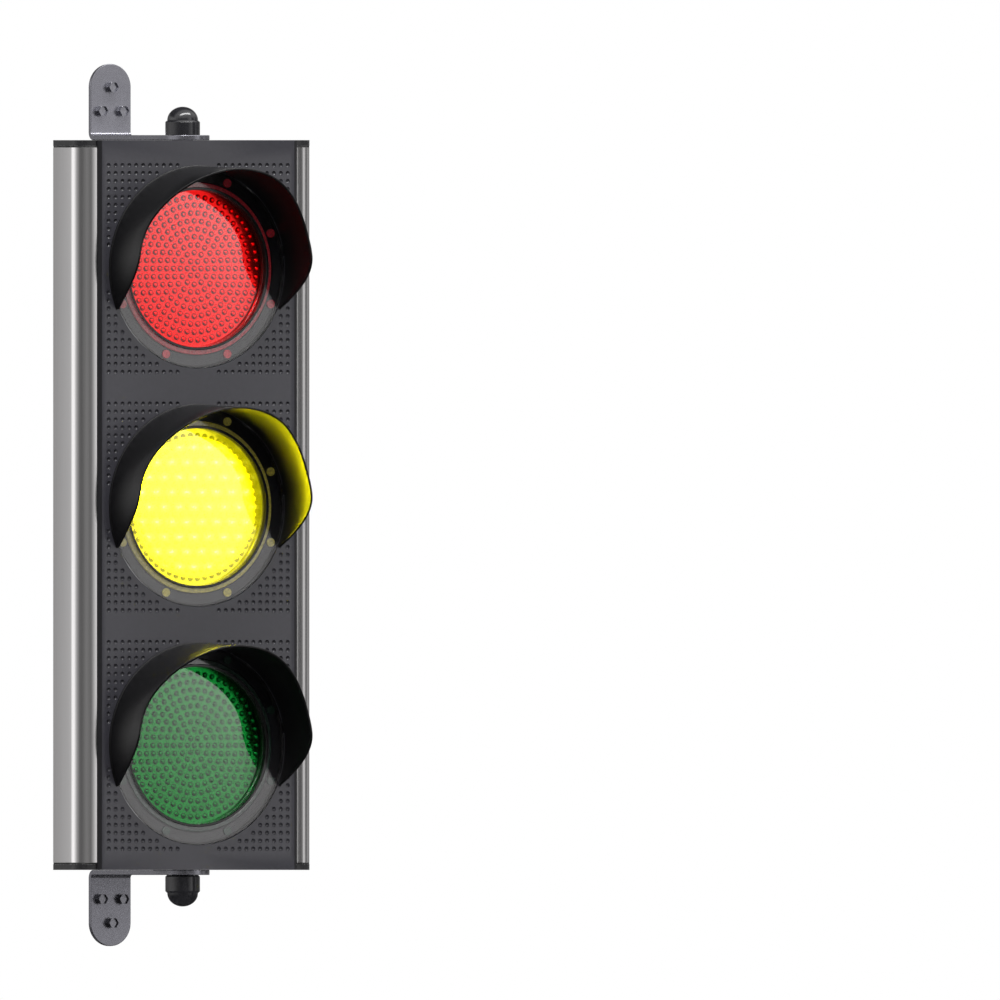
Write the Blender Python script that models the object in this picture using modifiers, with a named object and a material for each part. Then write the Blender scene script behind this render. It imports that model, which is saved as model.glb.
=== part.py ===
"""Three-aspect LED traffic signal head that pans between two wall brackets.

Frame: +Z up, the lenses face -Y, +X is to the right of someone facing the lenses.
The origin lies on the wall plane, on the back face of the top bracket.
All sizes below are millimetres; every mesh is drawn in millimetres and scaled to metres once.
Two short directions are used in the text: "depth" is measured from the front panel's outer face
towards the wall, and "rise" from the middle of the body upwards.
"""

import math

import bmesh
import bpy
from mathutils import Matrix, Vector

MM = 0.001
CLEARANCE = 0.3

# Body
ASPECTS = ("red", "yellow", "green")
ASPECT_PITCH = 180.0
ASPECT_OFFSET = -1.5
BODY_WIDTH = 207.0
BODY_HEIGHT = 551.0
BODY_DEPTH = 40.0
PIVOT_TO_WALL = 112.0
PIVOT_TO_BACK = 16.5
END_CAP_THICKNESS = 4.4
END_GASKET_THICKNESS = 0.6
SIDE_FLAT_DEPTH = 26.9
CORNER_WIDTH = 16.3
CORNER_DEPTH = 11.2
PROFILE_WALL = 2.0
SCREW_PORT_RADIUS = 1.8
SCREW_PORTS = ((7.5, 8.6), (7.5, 27.0))

# Front panel
PANEL_THICKNESS = 3.0
PANEL_BEVEL_WIDTH = 3.1
PANEL_BEVEL_DEPTH = 1.6
COLLAR_RADIUS = 80.0
COLLAR_DEPTH = 6.0
REBATE_RADIUS = 75.4
REBATE_DEPTH = 4.3
PANEL_OPENING_RADIUS = 66.0

# Optics of one aspect
COVER_RADIUS = 75.0
COVER_THICKNESS = 2.7
BOSS_COUNT = 8
BOSS_RADIUS = 3.25
BOSS_CIRCLE_RADIUS = 69.8
BOSS_HEIGHT = 1.2
COVER_GASKET_RADII = (73.4, 74.9)
COVER_GASKET_THICKNESS = 1.0
LENS_RADIUS = 59.4
LENS_TUBE_RADIUS = 61.5
LENS_FLANGE_RADIUS = 65.0
LENS_FRONT_DEPTH = 6.7
LENS_BACK_DEPTH = 9.0
LENS_FLANGE_THICKNESS = 1.5
CUP_WALL = 2.0
CUP_LEDGE_RADIUS = 57.0
CUP_BACK_DEPTH = 29.0
BOARD_FRONT_DEPTH = 20.0
BOARD_THICKNESS = 1.6
BOARD_RADIUS = 61.2
LED_SIZE = 3.6
LED_HEIGHT = 1.6
LED_PITCH = 13.0
LED_RINGS = 4

# Visor
VISOR_BASE_RADIUS = 77.2
VISOR_RIM_RADIUS = 76.0
VISOR_WALL = 1.8
VISOR_TIP_ANGLE = -23.5
VISOR_SIDE_LENGTH = 41.5
VISOR_TOP_LENGTH = 63.0
VISOR_TIP_LENGTH = 1.2
VISOR_TAB_ANGLES = (10.0, 90.0, 170.0)
VISOR_TAB_WIDTH = 8.0
VISOR_TAB_DEPTH = 4.9
VISOR_TAB_RADII = (75.7, 77.0)

# Pivots and brackets
STEM_RADIUS = 8.0
STEM_BORE_RADIUS = 5.5
STEM_INNER_LENGTH = 17.5
STEM_OUTER_LENGTH = 10.0
LOCK_NUT_ACROSS_FLATS = 22.0
LOCK_NUT_THICKNESS = 6.0
WASHER_RADIUS = 14.0
WASHER_THICKNESS = 1.0
CAP_NUT_RADIUS = 13.15
CAP_NUT_DOME_RADIUS = 11.65
CAP_NUT_BORE_DEPTH = 13.5
BRACKET_WIDTH = 35.0
BRACKET_THICKNESS = 3.5
BRACKET_BEND_RADIUS = 6.0
ARM_END_PAST_PIVOT = 5.7
UPPER_BOLT_RISE = 39.7
LOWER_BOLT_RISE = 21.7
LOWER_BOLT_OFFSET = 9.2
BOLT_ACROSS_FLATS = 7.0
BOLT_HEX_HEIGHT = 4.5
BOLT_COLLAR_RADIUS = 4.6
BOLT_COLLAR_HEIGHT = 0.5
BOLT_SHANK_RADIUS = 2.0

# End-cap screws
SCREW_LENGTH = 14.0
SCREW_SHANK_RADIUS = 1.5
SCREW_HEAD_RADIUS = 3.0
SCREW_SINK = 0.2

# Electrical pieces inside the body
DRIVER_SIZE = (110.0, 40.0)
DRIVER_FRONT_DEPTH = 30.0
DRIVER_PILLAR_OFFSETS = (50.0, 15.0)
TERMINAL_SIZE = (50.0, 12.0, 13.4)
TERMINAL_CENTRE_X = 60.0
GROMMET_RISE = 112.0
GROMMET_HOLE_RADIUS = 7.0
LEAD_RADIUS = 1.6
LEAD_RUN_DEPTH = 33.8
LEAD_BEND_RADIUS = 4.0
LEAD_POSITIONS = {"red": -25.0, "yellow": 0.0, "green": 25.0}

ROUND_STEPS = 36
STEM_STEPS = 24
SMALL_STEPS = 12
SCREW_STEPS = 8
ROUND_END_STEPS = 24

# Derived places
HALF_WIDTH = BODY_WIDTH / 2
HALF_HEIGHT = BODY_HEIGHT / 2
PIVOT_Y = -PIVOT_TO_WALL
BACK_Y = PIVOT_Y + PIVOT_TO_BACK
FRONT_Y = BACK_Y - BODY_DEPTH
ARM_RISE = HALF_HEIGHT + CLEARANCE
BODY_Z = -(ARM_RISE + (UPPER_BOLT_RISE + LOWER_BOLT_RISE) / 2)
CAP_BOTTOM_RISE = HALF_HEIGHT - END_CAP_THICKNESS
GASKET_TOP_RISE = CAP_BOTTOM_RISE - CLEARANCE
PROFILE_RISE = GASKET_TOP_RISE - END_GASKET_THICKNESS - CLEARANCE
PANEL_HALF_WIDTH = HALF_WIDTH - CORNER_WIDTH - CLEARANCE
GROOVE_LIP_DEPTH = 3.4
TONGUE_DEPTHS = (3.7, 5.3)
TONGUE_HALF_WIDTH = PANEL_HALF_WIDTH + 3.6
BOSS_ANGLES = [math.radians(22.5 + 45.0 * i) for i in range(BOSS_COUNT)]
ASPECT_RISES = {name: ASPECT_PITCH * (1 - i) + ASPECT_OFFSET for i, name in enumerate(ASPECTS)}
DRIVER_RISE = ASPECT_OFFSET - ASPECT_PITCH / 2
TERMINAL_RISE = ASPECT_OFFSET + ASPECT_PITCH / 2


# ---------------------------------------------------------------- scene set-up

def clear_scene():
    for existing in list(bpy.data.objects):
        bpy.data.objects.remove(existing, do_unlink=True)


def new_collection(name):
    collection = bpy.data.collections.new(name)
    bpy.context.scene.collection.children.link(collection)
    return collection


clear_scene()
PARTS = new_collection("traffic_signal_head")
CUTTERS = new_collection("cutters")


def principled(name, colour, roughness, metallic=0.0, transmission=0.0):
    material = bpy.data.materials.new(name)
    material.use_nodes = True
    shader = material.node_tree.nodes["Principled BSDF"]
    shader.inputs["Base Color"].default_value = (*colour, 1.0)
    shader.inputs["Roughness"].default_value = roughness
    shader.inputs["Metallic"].default_value = metallic
    shader.inputs["Transmission Weight"].default_value = transmission
    material.diffuse_color = (*colour, 1.0)
    return material


# ---------------------------------------------------------------- mesh helpers

def to_mesh(name, bm):
    """Closes a bmesh drawn in millimetres into a mesh in metres, faces pointing out."""
    bmesh.ops.remove_doubles(bm, verts=bm.verts, dist=0.0001)
    bmesh.ops.recalc_face_normals(bm, faces=bm.faces)
    bmesh.ops.scale(bm, vec=(MM, MM, MM), verts=bm.verts)
    mesh = bpy.data.meshes.new(name)
    bm.to_mesh(mesh)
    bm.free()
    return mesh


def add_box(bm, low, high):
    size = Vector(high) - Vector(low)
    centre = (Vector(high) + Vector(low)) / 2
    bmesh.ops.create_cube(bm, size=1.0, matrix=Matrix.Translation(centre) @ Matrix.Diagonal((*size, 1.0)))


def add_cylinder(bm, start, end, radius, steps=SMALL_STEPS, end_radius=None, turn=0.0):
    start = Vector(start)
    axis = Vector(end) - start
    matrix = Matrix.Translation(start + axis / 2)
    matrix = matrix @ axis.to_track_quat("Z", "Y").to_matrix().to_4x4() @ Matrix.Rotation(turn, 4, "Z")
    bmesh.ops.create_cone(bm, cap_ends=True, segments=steps, radius1=radius,
                          radius2=radius if end_radius is None else end_radius,
                          depth=axis.length, matrix=matrix)


def evaluated_bmesh(obj):
    """The mesh of a temporary object with its modifiers, as a bmesh; the object is removed."""
    graph = bpy.context.evaluated_depsgraph_get()
    mesh = bpy.data.meshes.new_from_object(obj.evaluated_get(graph), depsgraph=graph)
    bm = bmesh.new()
    bm.from_mesh(mesh)
    bm.transform(obj.matrix_world)
    bpy.data.meshes.remove(mesh)
    bpy.data.objects.remove(obj, do_unlink=True)
    return bm


def extruded(name, loops, low, high, frame=Matrix.Identity(4)):
    """A flat outline with its holes, filled and extruded from height low to high along local Z."""
    curve = bpy.data.curves.new(name, "CURVE")
    curve.dimensions = "2D"
    curve.fill_mode = "BOTH"
    curve.extrude = (high - low) / 2
    for loop in loops:
        spline = curve.splines.new("POLY")
        spline.points.add(len(loop) - 1)
        for point, (x, y) in zip(spline.points, loop):
            point.co = (x, y, 0.0, 1.0)
        spline.use_cyclic_u = True
    outline = bpy.data.objects.new(name, curve)
    CUTTERS.objects.link(outline)
    bpy.context.view_layer.update()
    bm = evaluated_bmesh(outline)
    bm.transform(frame @ Matrix.Translation((0, 0, (high + low) / 2)))
    return to_mesh(name, bm)


def turned(name, profile, frame, steps=ROUND_STEPS, closed=False):
    """A profile of (radius, height) points, outer side top to bottom, screwed round local Z."""
    mesh = bpy.data.meshes.new(name)
    vertices = [(radius, 0.0, height) for radius, height in profile]
    edges = [(i, i + 1) for i in range(len(profile) - 1)]
    if closed:
        edges.append((len(profile) - 1, 0))
    mesh.from_pydata(vertices, edges, [])
    blank = bpy.data.objects.new(name, mesh)
    CUTTERS.objects.link(blank)
    screw = blank.modifiers.new("turn", "SCREW")
    screw.steps = steps
    screw.render_steps = steps
    screw.use_merge_vertices = True
    screw.merge_threshold = 0.0001
    bpy.context.view_layer.update()
    bm = evaluated_bmesh(blank)
    bm.transform(frame)
    return to_mesh(name, bm)


def facing_front(x, depth, rise):
    """Local Z points out of the front panel (-Y); the place is given as x, depth and rise."""
    return Matrix.Translation(place(x, depth, rise)) @ Matrix.Rotation(math.radians(90), 4, "X")


def place(x, depth, rise):
    return Vector((x, FRONT_Y + depth, BODY_Z + rise))


def upright(rise, direction):
    """Local Z along the pivot axis, pointing away from the body at the given end (+1 top, -1 bottom)."""
    turn = Matrix.Identity(4) if direction > 0 else Matrix.Rotation(math.pi, 4, "X")
    return Matrix.Translation((0.0, PIVOT_Y, BODY_Z + direction * rise)) @ turn


def circle(radius, centre=(0.0, 0.0), steps=SMALL_STEPS):
    angles = [2 * math.pi * i / steps for i in range(steps)]
    return [(centre[0] + radius * math.cos(a), centre[1] + radius * math.sin(a)) for a in angles]


# ---------------------------------------------------------------- objects

def joint_empty(name, location, parent=None):
    empty = bpy.data.objects.new(name, None)
    PARTS.objects.link(empty)
    empty.empty_display_size = 0.02
    empty.location = Vector(location) * MM
    if parent is not None:
        empty.parent = parent
        empty.location = empty.location - world_place(parent)
    return empty


def world_place(empty):
    place_in_world = empty.location.copy()
    while empty.parent is not None:
        empty = empty.parent
        place_in_world += empty.location
    return place_in_world


def add_part(name, mesh, material, carrier=None):
    """Adds a piece; a piece on a moving body gets its origin on that body's joint axis."""
    mesh.name = name
    mesh.materials.append(material)
    part = bpy.data.objects.new(name, mesh)
    PARTS.objects.link(part)
    if carrier is not None:
        mesh.transform(Matrix.Translation(-world_place(carrier)))
        part.parent = carrier
    mesh.shade_smooth()
    mesh.set_sharp_from_angle(angle=math.radians(32))
    return part


def shape_with(part, mesh, operation="DIFFERENCE"):
    """Cuts the part with, or joins it to, the closed bodies of a second mesh."""
    tool = bpy.data.objects.new(part.name + "_" + operation.lower(), mesh)
    CUTTERS.objects.link(tool)
    tool.hide_render = True
    tool.display_type = "WIRE"
    boolean = part.modifiers.new(operation.lower(), "BOOLEAN")
    boolean.operation = operation
    boolean.solver = "EXACT"
    boolean.object = tool


MATERIALS = {
    "anodised": principled("satin_anodised_aluminium", (0.52, 0.52, 0.54), 0.3, 1.0),
    "panel": principled("anthracite_panel", (0.065, 0.065, 0.072), 0.45),
    "cap": principled("black_end_cap", (0.03, 0.03, 0.032), 0.4),
    "rubber": principled("black_rubber", (0.02, 0.02, 0.02), 0.8),
    "visor": principled("satin_black_visor", (0.012, 0.012, 0.012), 0.35),
    "clear": principled("clear_cover", (0.9, 0.9, 0.9), 0.03, 0.0, 0.9),
    "cup": principled("black_lamp_housing", (0.02, 0.02, 0.02), 0.5),
    "board": principled("white_circuit_board", (0.7, 0.7, 0.68), 0.6),
    "driver": principled("green_circuit_board", (0.02, 0.16, 0.06), 0.5),
    "terminal": principled("grey_terminal_block", (0.35, 0.36, 0.36), 0.5),
    "steel": principled("grey_coated_steel", (0.19, 0.19, 0.2), 0.45, 0.6),
    "zinc": principled("zinc_plated_steel", (0.42, 0.42, 0.42), 0.4, 1.0),
    "nut": principled("black_glossy_nut", (0.02, 0.02, 0.022), 0.2),
    "nylon": principled("white_nylon", (0.75, 0.75, 0.72), 0.5),
    "red": principled("red_lens", (0.8, 0.02, 0.03), 0.15),
    "yellow": principled("yellow_lens", (0.95, 0.85, 0.02), 0.15),
    "green": principled("green_lens", (0.02, 0.3, 0.12), 0.15),
}

HEAD = joint_empty("head_pan_axis", (0.0, PIVOT_Y, BODY_Z))


# ---------------------------------------------------------------- body shell

def plan_point(side, inset, back_distance):
    """A point of the body's plan, from its distance to the side face and to the back face."""
    return (side * (HALF_WIDTH - inset), BACK_Y - back_distance)


def corner_arc(side, offset=0.0, steps=14):
    """The quarter ellipse that rounds a front corner, from the side face to the front."""
    points = []
    for i in range(steps + 1):
        angle = math.radians(90.0 * i / steps)
        inset = CORNER_WIDTH - (CORNER_WIDTH - offset) * math.cos(angle)
        back_distance = SIDE_FLAT_DEPTH + (CORNER_DEPTH - offset) * math.sin(angle)
        points.append(plan_point(side, inset, back_distance))
    return points


def side_profile(name, side):
    lip = BODY_DEPTH - GROOVE_LIP_DEPTH
    shelf = BODY_DEPTH - TONGUE_DEPTHS[1] - CLEARANCE
    groove_inset = HALF_WIDTH - TONGUE_HALF_WIDTH - CLEARANCE
    inner = [
        (CORNER_WIDTH, lip), (groove_inset, lip), (groove_inset, shelf),
        (21.0, shelf), (21.0, shelf - PROFILE_WALL), (14.0, shelf - PROFILE_WALL),
        (14.0, 22.0), (PROFILE_WALL, 22.0), (PROFILE_WALL, 13.0), (14.0, 13.0),
        (14.0, 4.6), (10.0, 4.6), (10.0, PROFILE_WALL), (20.0, PROFILE_WALL), (20.0, 0.0),
    ]
    outline = [plan_point(side, 0.0, 0.0)] + corner_arc(side)
    outline += [plan_point(side, inset, back_distance) for inset, back_distance in inner]
    ports = [circle(SCREW_PORT_RADIUS, plan_point(side, *port), SCREW_STEPS) for port in SCREW_PORTS]
    mesh = extruded(name, [outline] + ports, BODY_Z - PROFILE_RISE, BODY_Z + PROFILE_RISE)
    add_part(name, mesh, MATERIALS["anodised"], HEAD)


def cap_outline(offset=0.0):
    """Plan of the end caps: the whole body except where the front panel covers it."""
    front = BODY_DEPTH - PANEL_THICKNESS - CLEARANCE - offset
    half = [plan_point(-1, offset, offset)] + corner_arc(-1, offset)
    half.append(plan_point(-1, CORNER_WIDTH, front))
    return half + [(-x, y) for x, y in reversed(half)]


def screw_body(clearance):
    """Profile of a countersunk end-cap screw, its head's top at height 0."""
    head = SCREW_HEAD_RADIUS + clearance
    shank = SCREW_SHANK_RADIUS + clearance
    top = 2 * clearance
    neck = SCREW_SHANK_RADIUS - SCREW_HEAD_RADIUS - 0.2
    return [(0.0, top), (head, top), (head, -0.2), (shank, neck),
            (shank, -SCREW_LENGTH - clearance), (0.0, -SCREW_LENGTH - clearance)]


def end_pieces(end, direction):
    rises = sorted((direction * CAP_BOTTOM_RISE, direction * HALF_HEIGHT))
    bore = circle(STEM_RADIUS + CLEARANCE, (0.0, PIVOT_Y), STEM_STEPS)
    cap_mesh = extruded(end + "_end_cap", [cap_outline(), bore], BODY_Z + rises[0], BODY_Z + rises[1])
    cap = add_part(end + "_end_cap", cap_mesh, MATERIALS["cap"], HEAD)

    seat = bmesh.new()
    seat_depth = WASHER_THICKNESS + CLEARANCE
    add_cylinder(seat, (0, PIVOT_Y, BODY_Z + direction * (HALF_HEIGHT - seat_depth)),
                 (0, PIVOT_Y, BODY_Z + direction * (HALF_HEIGHT + 2)),
                 WASHER_RADIUS + CLEARANCE, STEM_STEPS)
    shape_with(cap, to_mesh(end + "_washer_seat", seat))

    turn = Matrix.Identity(4) if direction > 0 else Matrix.Rotation(math.pi, 4, "X")
    places = [(side, port) for side in (-1, 1) for port in SCREW_PORTS]
    for number, (side, port) in enumerate(places, start=1):
        x, y = plan_point(side, *port)
        frame = Matrix.Translation((x, y, BODY_Z + direction * (HALF_HEIGHT - SCREW_SINK))) @ turn
        name = f"{end}_cap_screw_{number}"
        add_part(name, turned(name, screw_body(0.0), frame, SCREW_STEPS), MATERIALS["zinc"], HEAD)
        shape_with(cap, turned(name + "_hole", screw_body(CLEARANCE), frame, SCREW_STEPS))

    rises = sorted((direction * (GASKET_TOP_RISE - END_GASKET_THICKNESS), direction * GASKET_TOP_RISE))
    frame_mesh = extruded(end + "_end_gasket", [cap_outline(0.6), cap_outline(2.8)],
                          BODY_Z + rises[0], BODY_Z + rises[1])
    add_part(end + "_end_gasket", frame_mesh, MATERIALS["rubber"], HEAD)


def front_panel():
    half = PANEL_HALF_WIDTH
    edge = half - PANEL_BEVEL_WIDTH
    back = FRONT_Y + PANEL_THICKNESS
    plan = [(-half, back), (-half, FRONT_Y + PANEL_BEVEL_DEPTH), (-edge, FRONT_Y)]
    plan += [(-x, y) for x, y in reversed(plan)]
    mesh = extruded("front_panel", [plan], BODY_Z - HALF_HEIGHT, BODY_Z + HALF_HEIGHT)
    panel = add_part("front_panel", mesh, MATERIALS["panel"], HEAD)

    rails = bmesh.new()
    for side in (-1, 1):
        inner, outer = side * (half - 6.0), side * half
        x_low, x_high = min(inner, outer), max(inner, outer)
        add_box(rails, (x_low, back - 1.0, BODY_Z - PROFILE_RISE),
                (x_high, FRONT_Y + TONGUE_DEPTHS[1], BODY_Z + PROFILE_RISE))
    shape_with(panel, to_mesh("panel_rails", rails), "UNION")
    tongues = bmesh.new()
    for side in (-1, 1):
        inner, outer = side * (half - 3.0), side * TONGUE_HALF_WIDTH
        add_box(tongues, (min(inner, outer), FRONT_Y + TONGUE_DEPTHS[0], BODY_Z - PROFILE_RISE),
                (max(inner, outer), FRONT_Y + TONGUE_DEPTHS[1], BODY_Z + PROFILE_RISE))
    shape_with(panel, to_mesh("panel_tongues", tongues), "UNION")

    collars = bmesh.new()
    rebates = bmesh.new()
    openings = bmesh.new()
    notches = bmesh.new()
    for rise in ASPECT_RISES.values():
        add_cylinder(collars, place(0, 1.0, rise), place(0, COLLAR_DEPTH, rise), COLLAR_RADIUS, ROUND_STEPS)
        add_cylinder(rebates, place(0, -1.0, rise), place(0, REBATE_DEPTH, rise),
                     REBATE_RADIUS, ROUND_STEPS)
        add_cylinder(openings, place(0, -1.0, rise), place(0, COLLAR_DEPTH + 1.0, rise),
                     PANEL_OPENING_RADIUS, ROUND_STEPS)
        for angle in VISOR_TAB_ANGLES:
            add_tab(notches, angle, rise, -1.0, VISOR_TAB_DEPTH + CLEARANCE, CLEARANCE)
    shape_with(panel, to_mesh("panel_collars", collars), "UNION")
    shape_with(panel, to_mesh("panel_rebates", rebates))
    shape_with(panel, to_mesh("panel_openings", openings))
    shape_with(panel, to_mesh("panel_notches", notches))


def back_panel():
    bm = bmesh.new()
    add_box(bm, (-HALF_WIDTH + 10.3, BACK_Y - 4.3, BODY_Z - PROFILE_RISE),
            (HALF_WIDTH - 10.3, BACK_Y - 2.3, BODY_Z + PROFILE_RISE))
    panel = add_part("back_panel", to_mesh("back_panel", bm), MATERIALS["panel"], HEAD)

    pillars = bmesh.new()
    top = DRIVER_FRONT_DEPTH + BOARD_THICKNESS + CLEARANCE
    for x_sign in (-1, 1):
        for z_sign in (-1, 1):
            x = x_sign * DRIVER_PILLAR_OFFSETS[0]
            rise = DRIVER_RISE + z_sign * DRIVER_PILLAR_OFFSETS[1]
            add_cylinder(pillars, place(x, BODY_DEPTH - 3.3, rise), place(x, top, rise), 3.0, SMALL_STEPS)
    shape_with(panel, to_mesh("driver_pillars", pillars), "UNION")

    hole = bmesh.new()
    add_cylinder(hole, place(TERMINAL_CENTRE_X, BODY_DEPTH - 6, GROMMET_RISE),
                 place(TERMINAL_CENTRE_X, BODY_DEPTH, GROMMET_RISE), GROMMET_HOLE_RADIUS, 16)
    shape_with(panel, to_mesh("cable_hole", hole))

    groove = GROMMET_HOLE_RADIUS - CLEARANCE
    profile = [(0.0, 2.8), (9.0, 2.8), (9.0, 1.3), (groove, 1.3), (groove, -1.3),
               (9.0, -1.3), (9.0, -2.8), (5.0, -2.8), (5.0, 1.3), (0.0, 1.3)]
    frame = facing_front(TERMINAL_CENTRE_X, BODY_DEPTH - 3.3, GROMMET_RISE)
    add_part("cable_grommet", turned("cable_grommet", profile, frame, 16), MATERIALS["rubber"], HEAD)


# ---------------------------------------------------------------- one aspect

def add_tab(bm, angle, rise, front_depth, back_depth, clearance=0.0):
    """A visor fixing tab, or with clearance its notch, at an angle round the aspect."""
    width = VISOR_TAB_WIDTH / 2 + clearance
    inner, outer = VISOR_TAB_RADII[0] - 2.5 * clearance, VISOR_TAB_RADII[1] + clearance
    tab = bmesh.new()
    add_box(tab, (inner, -width, -back_depth), (outer, width, -front_depth))
    tab.transform(facing_front(0, 0, rise) @ Matrix.Rotation(math.radians(angle), 4, "Z"))
    mesh = bpy.data.meshes.new("tab")
    tab.to_mesh(mesh)
    tab.free()
    bm.from_mesh(mesh)
    bpy.data.meshes.remove(mesh)


def smooth_step(value):
    value = min(max(value, 0.0), 1.0)
    return value * value * (3.0 - 2.0 * value)


def visor_length(angle):
    """How far the visor's rim stands out at an angle; the same on the left as on the right."""
    angle = min(angle, 180.0 - angle)
    rising = math.sin(math.radians(90.0 * min((angle + 24.0) / 32.0, 1.0)))
    side = VISOR_SIDE_LENGTH * rising
    peak = (VISOR_TOP_LENGTH - VISOR_SIDE_LENGTH) * smooth_step((angle - 15.0) / 63.0)
    return max(side + peak, VISOR_TIP_LENGTH)


def visor(name, rise):
    """An open sheet bent round the aspect, given its wall by Solidify, with three fixing tabs."""
    around, along = 36, 3
    sheet = bmesh.new()
    bmesh.ops.create_grid(sheet, x_segments=around, y_segments=along, size=1.0)
    for vertex in sheet.verts:
        angle = 90.0 + vertex.co.x * (90.0 - VISOR_TIP_ANGLE)
        length = visor_length(angle) * (vertex.co.y + 1.0) / 2.0
        taper = (VISOR_BASE_RADIUS - VISOR_RIM_RADIUS) * length / VISOR_TOP_LENGTH
        radius = VISOR_BASE_RADIUS - taper
        turn = math.radians(angle)
        vertex.co = (radius * math.cos(turn), radius * math.sin(turn), length + CLEARANCE)
    mesh = bpy.data.meshes.new(name)
    sheet.to_mesh(mesh)
    sheet.free()
    blank = bpy.data.objects.new(name, mesh)
    CUTTERS.objects.link(blank)
    wall = blank.modifiers.new("wall", "SOLIDIFY")
    wall.thickness = VISOR_WALL
    wall.offset = -1.0 if mesh.polygons[0].normal.dot(mesh.polygons[0].center) > 0 else 1.0
    bpy.context.view_layer.update()
    shell = evaluated_bmesh(blank)
    shell.transform(facing_front(0, 0, rise))
    part = add_part(name, to_mesh(name, shell), MATERIALS["visor"], HEAD)
    tabs = bmesh.new()
    for angle in VISOR_TAB_ANGLES:
        add_tab(tabs, angle, rise, -3.0, VISOR_TAB_DEPTH)
    shape_with(part, to_mesh(name + "_tabs", tabs), "UNION")


def clear_cover(name, rise):
    profile = [(0.0, 0.0), (COVER_RADIUS, 0.0), (COVER_RADIUS, -COVER_THICKNESS), (0.0, -COVER_THICKNESS)]
    mesh = turned(name, profile, facing_front(0, 0, rise))
    cover = add_part(name, mesh, MATERIALS["clear"], HEAD)
    bosses = bmesh.new()
    for angle in BOSS_ANGLES:
        x = BOSS_CIRCLE_RADIUS * math.cos(angle)
        z = rise + BOSS_CIRCLE_RADIUS * math.sin(angle)
        add_cylinder(bosses, place(x, COVER_THICKNESS - 0.5, z),
                     place(x, COVER_THICKNESS + BOSS_HEIGHT, z), BOSS_RADIUS, SMALL_STEPS)
    shape_with(cover, to_mesh(name + "_bosses", bosses), "UNION")


def cover_gasket(name, rise):
    inner, outer = COVER_GASKET_RADII
    top = -(COVER_THICKNESS + CLEARANCE)
    bottom = top - COVER_GASKET_THICKNESS
    ring = [(inner, top), (outer, top), (outer, bottom), (inner, bottom)]
    mesh = turned(name, ring, facing_front(0, 0, rise), closed=True)
    add_part(name, mesh, MATERIALS["rubber"], HEAD)


def pebble_lens(name, rise, colour):
    flange_top = -(COVER_THICKNESS + CLEARANCE)
    flange_bottom = flange_top - LENS_FLANGE_THICKNESS
    profile = [(0.0, -LENS_FRONT_DEPTH), (LENS_RADIUS, -LENS_FRONT_DEPTH), (LENS_RADIUS, flange_top),
               (LENS_FLANGE_RADIUS, flange_top), (LENS_FLANGE_RADIUS, flange_bottom),
               (LENS_TUBE_RADIUS, flange_bottom), (LENS_TUBE_RADIUS, -LENS_BACK_DEPTH),
               (0.0, -LENS_BACK_DEPTH)]
    add_part(name, turned(name, profile, facing_front(0, 0, rise)), MATERIALS[colour], HEAD)


def lamp_housing(name, rise, lead_x):
    inner = LENS_TUBE_RADIUS + CLEARANCE
    outer = inner + CUP_WALL
    top = -(COVER_THICKNESS + LENS_FLANGE_THICKNESS + 2 * CLEARANCE)
    flange_top = -(COLLAR_DEPTH + CLEARANCE)
    ledge = -(BOARD_FRONT_DEPTH + BOARD_THICKNESS + CLEARANCE)
    back_inside = -(CUP_BACK_DEPTH - CUP_WALL)
    profile = [(0.0, back_inside), (CUP_LEDGE_RADIUS, back_inside), (CUP_LEDGE_RADIUS, ledge),
               (inner, ledge), (inner, top), (outer, top), (outer, flange_top),
               (COLLAR_RADIUS, flange_top), (COLLAR_RADIUS, flange_top - CUP_WALL),
               (outer, flange_top - CUP_WALL), (outer, -CUP_BACK_DEPTH), (0.0, -CUP_BACK_DEPTH)]
    mesh = turned(name, profile, facing_front(0, 0, rise))
    housing = add_part(name, mesh, MATERIALS["cup"], HEAD)
    hole = bmesh.new()
    add_cylinder(hole, place(lead_x, CUP_BACK_DEPTH - 5, rise), place(lead_x, CUP_BACK_DEPTH + 1, rise),
                 LEAD_RADIUS + 1.4, SMALL_STEPS)
    shape_with(housing, to_mesh(name + "_lead_hole", hole))


def led_places():
    """Hexagonal grid: a centre LED and LED_RINGS rings round it."""
    places = []
    for row in range(-LED_RINGS, LED_RINGS + 1):
        count = 2 * LED_RINGS + 1 - abs(row)
        for column in range(count):
            x = (column - (count - 1) / 2) * LED_PITCH
            places.append((x, row * LED_PITCH * math.sqrt(3) / 2))
    return places


def led_board(name, rise):
    profile = [(0.0, -BOARD_FRONT_DEPTH), (BOARD_RADIUS, -BOARD_FRONT_DEPTH),
               (BOARD_RADIUS, -BOARD_FRONT_DEPTH - BOARD_THICKNESS),
               (0.0, -BOARD_FRONT_DEPTH - BOARD_THICKNESS)]
    board = add_part(name, turned(name, profile, facing_front(0, 0, rise)), MATERIALS["board"], HEAD)
    leds = bmesh.new()
    half = LED_SIZE / 2
    for x, z in led_places():
        low = place(x - half, BOARD_FRONT_DEPTH - LED_HEIGHT, rise + z - half)
        add_box(leds, low, place(x + half, BOARD_FRONT_DEPTH + 0.5, rise + z + half))
    shape_with(board, to_mesh(name + "_leds", leds), "UNION")


# ---------------------------------------------------------------- electrical pieces

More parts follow.
